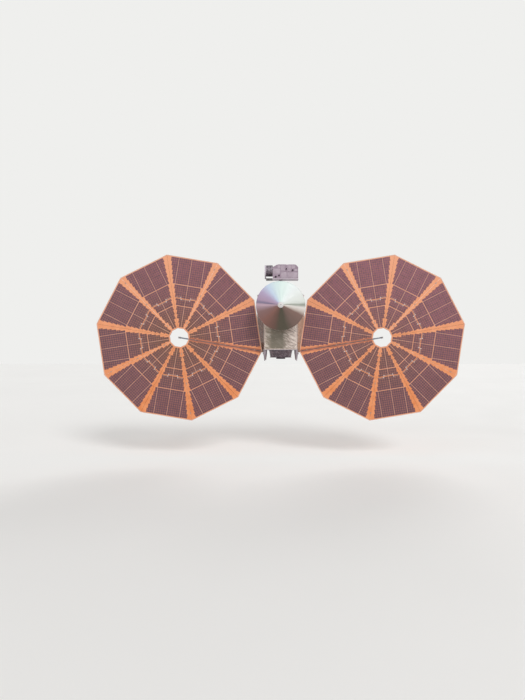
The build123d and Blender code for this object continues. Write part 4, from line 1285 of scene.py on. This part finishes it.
    def build(self) -> None:
        """Make the trims and dress the platform's nodes."""
        self.panels()
        self.port_liners()
        self.lenses()
        self.edge_trim()
        self.roof()
        self.barrel_bands()
        self.shade_trim()
        dress(FINISH.lilac, "instrument_box_left", "instrument_box_right")
        dress(FINISH.barrel, "telescope")
        dress(FINISH.shield, "telescope_shade")
        dress(FINISH.plate, "platform_plate")
        dress(FINISH.aluminium, "turret", "mast")


@dataclass
class Underside:
    """Launch ring, engine and thruster pods under the lower deck."""

    bolt_count: int = 48
    nozzle_drops: tuple[float, float] = (0.09, 0.16)

    def ring_bolts(self) -> None:
        """Bolt heads under the ring's upper flange."""
        low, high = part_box("launch_ring")
        reach = (high.x - low.x) / 2 - 0.010
        span = (high.z - 0.012, high.z - 0.022)
        with new_piece("ring_bolts", "bus", FINISH.titanium, "ring", 40) as shape:
            add_screws(shape, (0, 0, 0), 2, reach, self.bolt_count, span, (0.009, 0.008), 6)

    def pod_nozzles(self) -> None:
        """Pairs of small open nozzles on each pod."""
        section = [(0.006, 0.0), (0.011, 0.0), (0.022, 0.038), (0.019, 0.038)]
        with new_piece("pod_nozzles", "bus", FINISH.bell, "pod", 40) as shape:
            for name in ("front_left", "front_right", "back_left", "back_right"):
                low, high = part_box(f"thruster_pod_{name}")
                centre = (low + high) / 2
                side = 1 if centre.x > 0 else -1
                for drop in self.nozzle_drops:
                    start = Vector((centre.x + side * 0.045, centre.y, high.z - drop))
                    place = Matrix.Translation(start) @ Matrix.Rotation(side * math.pi / 2, 4, "Y")
                    add_ring(shape, section, place, 24)
                dress(FINISH.pod_wrap, f"thruster_pod_{name}")

    def build(self) -> None:
        """Make the trims and dress the nodes."""
        self.ring_bolts()
        self.pod_nozzles()
        dress(FINISH.under_blanket, "launch_ring")
        dress(FINISH.bell, "engine_bell")


@dataclass
class DeckOutfit:
    """Bolts, harness and plates on the decks, the mast and the back of the body."""

    bolt_pitch: float = 0.120
    bolt_inset: float = 0.030
    cable_radius: float = 0.008
    cable_pitch: float = 0.018
    clamp_pitch: float = 0.110
    tube_radius: float = 0.052      # the mast's
    tray_half: float = 0.022        # half of a cable tray's width
    tray_side: float = 0.300        # from the middle to a tray's corner
    connector_pitch: float = 0.084

    def __post_init__(self) -> None:
        """Read the decks and the mast from the frame."""
        self.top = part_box("upper_deck")[1].z
        low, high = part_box("mast")
        self.mast_y = (low.y + high.y) / 2
        self.mast_top = high.z
        self.blankets = BusBlankets()

    def deck_bolts(self) -> None:
        """Bolt heads round the top of the upper deck and the underside of the lower one."""
        inset = self.bolt_inset
        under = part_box("lower_deck")[0].z
        with new_piece("deck_bolts", "bus", FINISH.titanium, "deck", 40) as shape:
            for face, head in ((self.top, self.top + 0.007), (under, under - 0.007)):
                for name, length, place in self.blankets.panels():
                    count = max(1, round((length - 2 * inset) / self.bolt_pitch))
                    for step in range(count + 1):
                        u = inset + (length - 2 * inset) * step / count
                        ends = [place @ Vector((u, z, -inset)) for z in (face, head)]
                        add_rod(shape, *ends, 0.008, 0.007, 8)

    def mast_harness(self) -> None:
        """Three laced cables that climb the back of the mast to its drive, with their clamps."""
        foot, top = self.top + 0.016, self.mast_top - 0.122
        y = self.mast_y + self.tube_radius + self.cable_radius
        clamp = tube_section(self.tube_radius, self.tube_radius + 0.004, -0.006, 0.006)
        count = round((top - foot) / self.clamp_pitch)
        with new_piece("mast_harness", "bus", FINISH.harness, "strut", 40) as shape:
            for x in (-self.cable_pitch, 0.0, self.cable_pitch):
                add_rod(shape, (x, y, foot), (x, y, top), self.cable_radius, self.cable_radius, 12)
            for index in range(count):
                z = foot + (index + 0.5) * (top - foot) / count
                add_ring(shape, clamp, Matrix.Translation((0, self.mast_y, z)), 32)

    def cable_trays(self) -> None:
        """Flat cable trays from the mast's foot to the star trackers."""
        half = self.tray_half
        y = self.mast_y + 0.150
        with new_piece("deck_cable_trays", "bus", FINISH.aluminium, "deck") as shape:
            for sign, name in ((-1, "star_tracker_left"), (1, "star_tracker_right")):
                low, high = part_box(name)
                x = sign * self.tray_side
                end = (low.y + high.y) / 2
                for near, far in (((min(0, x), y), (max(0, x), y)), ((x, min(y, end)), (x, max(y, end)))):
                    start = (near[0] - half, near[1] - half, self.top)
                    add_box(shape, start, (far[0] + half, far[1] + half, self.top + 0.012), 0.002)

    def back_plate(self) -> None:
        """Umbilical plate low on the back, with its round connectors and caps."""
        face = self.blankets.plan[-1][0] + 0.012
        skin = face + 0.008
        with new_piece("umbilical_plate", "bus", FINISH.fitting, "deck", 40) as shape:
            add_box(shape, (-0.260, face, 0.420), (0.260, skin, 0.600), 0.002)
            for index in range(6):
                x = (index - 2.5) * self.connector_pitch
                for z, radius in ((0.470, 0.022), (0.548, 0.016)):
                    add_rod(shape, (x, skin, z), (x, skin + 0.016, z), radius, radius, 20)
                    add_rod(shape, (x, skin + 0.016, z), (x, skin + 0.020, z), radius * 0.8, radius * 0.7, 20)

    def build(self) -> None:
        """Make the trims and dress the nodes."""
        self.deck_bolts()
        self.mast_harness()
        self.cable_trays()
        self.back_plate()
        dress(FINISH.paint, "star_tracker_left", "star_tracker_right", "horn_antenna")


@dataclass
class Studio:
    """Pale floor, soft lights and the camera at the photograph's place."""

    floor_z: float = -4.370
    floor_half: float = 150.0
    camera_y: float = -22.450
    camera_height: float = 0.330
    sensor_mm: float = 36.0
    focal_pixels: float = 506.0
    frame_height: int = 700
    object_shift_pixels: float = 18.2
    backdrop: str = "#EFEFED"
    soft_level: float = 0.42
    floor_glow: float = 0.20        # seen by the camera alone, so that the floor meets the backdrop

    def floor(self) -> None:
        """A wide level floor of pale matt plaster, brighter to the camera than to the object."""
        shape = bmesh.new()
        place = Matrix.Translation((0, 0, self.floor_z))
        bmesh.ops.create_grid(shape, x_segments=1, y_segments=1, size=self.floor_half, matrix=place)
        mesh = bpy.data.meshes.new("studio_floor")
        shape.to_mesh(mesh)
        shape.free()
        piece = bpy.data.objects.new("studio_floor", mesh)
        bpy.context.scene.collection.objects.link(piece)
        material = Finish("matt_plaster_floor", "#DBDAD8", "#D9D8D6", 0.0, 0.85, 0.05, 9000, 40, 0.2).make()
        tree = material.node_tree
        seen = add(tree, "LightPath", output="Is Camera Ray")
        glow = add(tree, "Math", {0: seen, 1: self.floor_glow}, operation="MULTIPLY")
        feed(tree, tree.nodes["Principled BSDF"], {
            "Emission Strength": glow, "Emission Color": linear(self.backdrop)})
        mesh.materials.append(material)

    def sun(self, name: str, place: Point, strength: float, spread: float) -> None:
        """Add a soft sun that shines from a place to the probe's middle.

        Args:
            name: The light's name.
            place: Direction that it comes from.
            strength: Its strength.
            spread: Width of its disc in degrees.
        """
        data = bpy.data.lights.new(name, "SUN")
        data.energy = strength
        data.angle = math.radians(spread)
        lamp = bpy.data.objects.new(name, data)
        lamp.location = place
        lamp.rotation_euler = (-Vector(place)).to_track_quat("-Z", "Y").to_euler()
        bpy.context.scene.collection.objects.link(lamp)

    def world(self) -> None:
        """Even pale surroundings: brighter to the camera and in reflections than as a light."""
        world = bpy.data.worlds.new("studio_world")
        world.use_nodes = True
        tree = world.node_tree
        tree.nodes.clear()
        rays = add(tree, "LightPath").node.outputs
        seen = rays["Is Camera Ray"]
        for kind in ("Is Glossy Ray", "Is Transmission Ray"):
            seen = add(tree, "Math", {0: seen, 1: rays[kind]}, operation="MAXIMUM")
        soft = add(tree, "Background", {"Color": linear("#FFFFFF"), "Strength": self.soft_level})
        pale = add(tree, "Background", {"Color": linear(self.backdrop), "Strength": 1.0})
        mixed = add(tree, "MixShader", {0: seen, 1: soft, 2: pale})
        add(tree, "OutputWorld", {"Surface": mixed})
        bpy.context.scene.world = world

    def camera(self) -> None:
        """Camera at the photograph's height and distance, level, with its slight sideways shift."""
        data = bpy.data.cameras.new("photo_camera")
        data.sensor_fit = "AUTO"
        data.sensor_width = self.sensor_mm
        data.lens = self.sensor_mm * self.focal_pixels / self.frame_height
        data.shift_x = -self.object_shift_pixels / self.frame_height
        data.clip_end = 500
        camera = bpy.data.objects.new("photo_camera", data)
        camera.location = (0, self.camera_y, self.camera_height)
        camera.rotation_euler = (math.pi / 2, 0, 0)
        bpy.context.scene.collection.objects.link(camera)
        bpy.context.scene.camera = camera

    def build(self) -> None:
        """Make the floor, the lights, the world and the camera."""
        bpy.context.scene.view_settings.view_transform = "Standard"
        self.camera()
        self.floor()
        self.world()
        self.sun("key_sun", (7, -13, 11), 1.50, 22)
        self.sun("fill_sun", (-12, -12, 5), 0.40, 35)
        self.sun("back_sun", (5, 14, 9), 0.9, 30)


def main() -> None:
    """Build every sub-assembly in order."""
    parts = (Studio(), Wing(Side.LEFT), Wing(Side.RIGHT), BusBlankets(), Dish(), Platform(), Underside(), DeckOutfit())
    for part in parts:
        part.build()


if __name__ == "__main__":
    main()
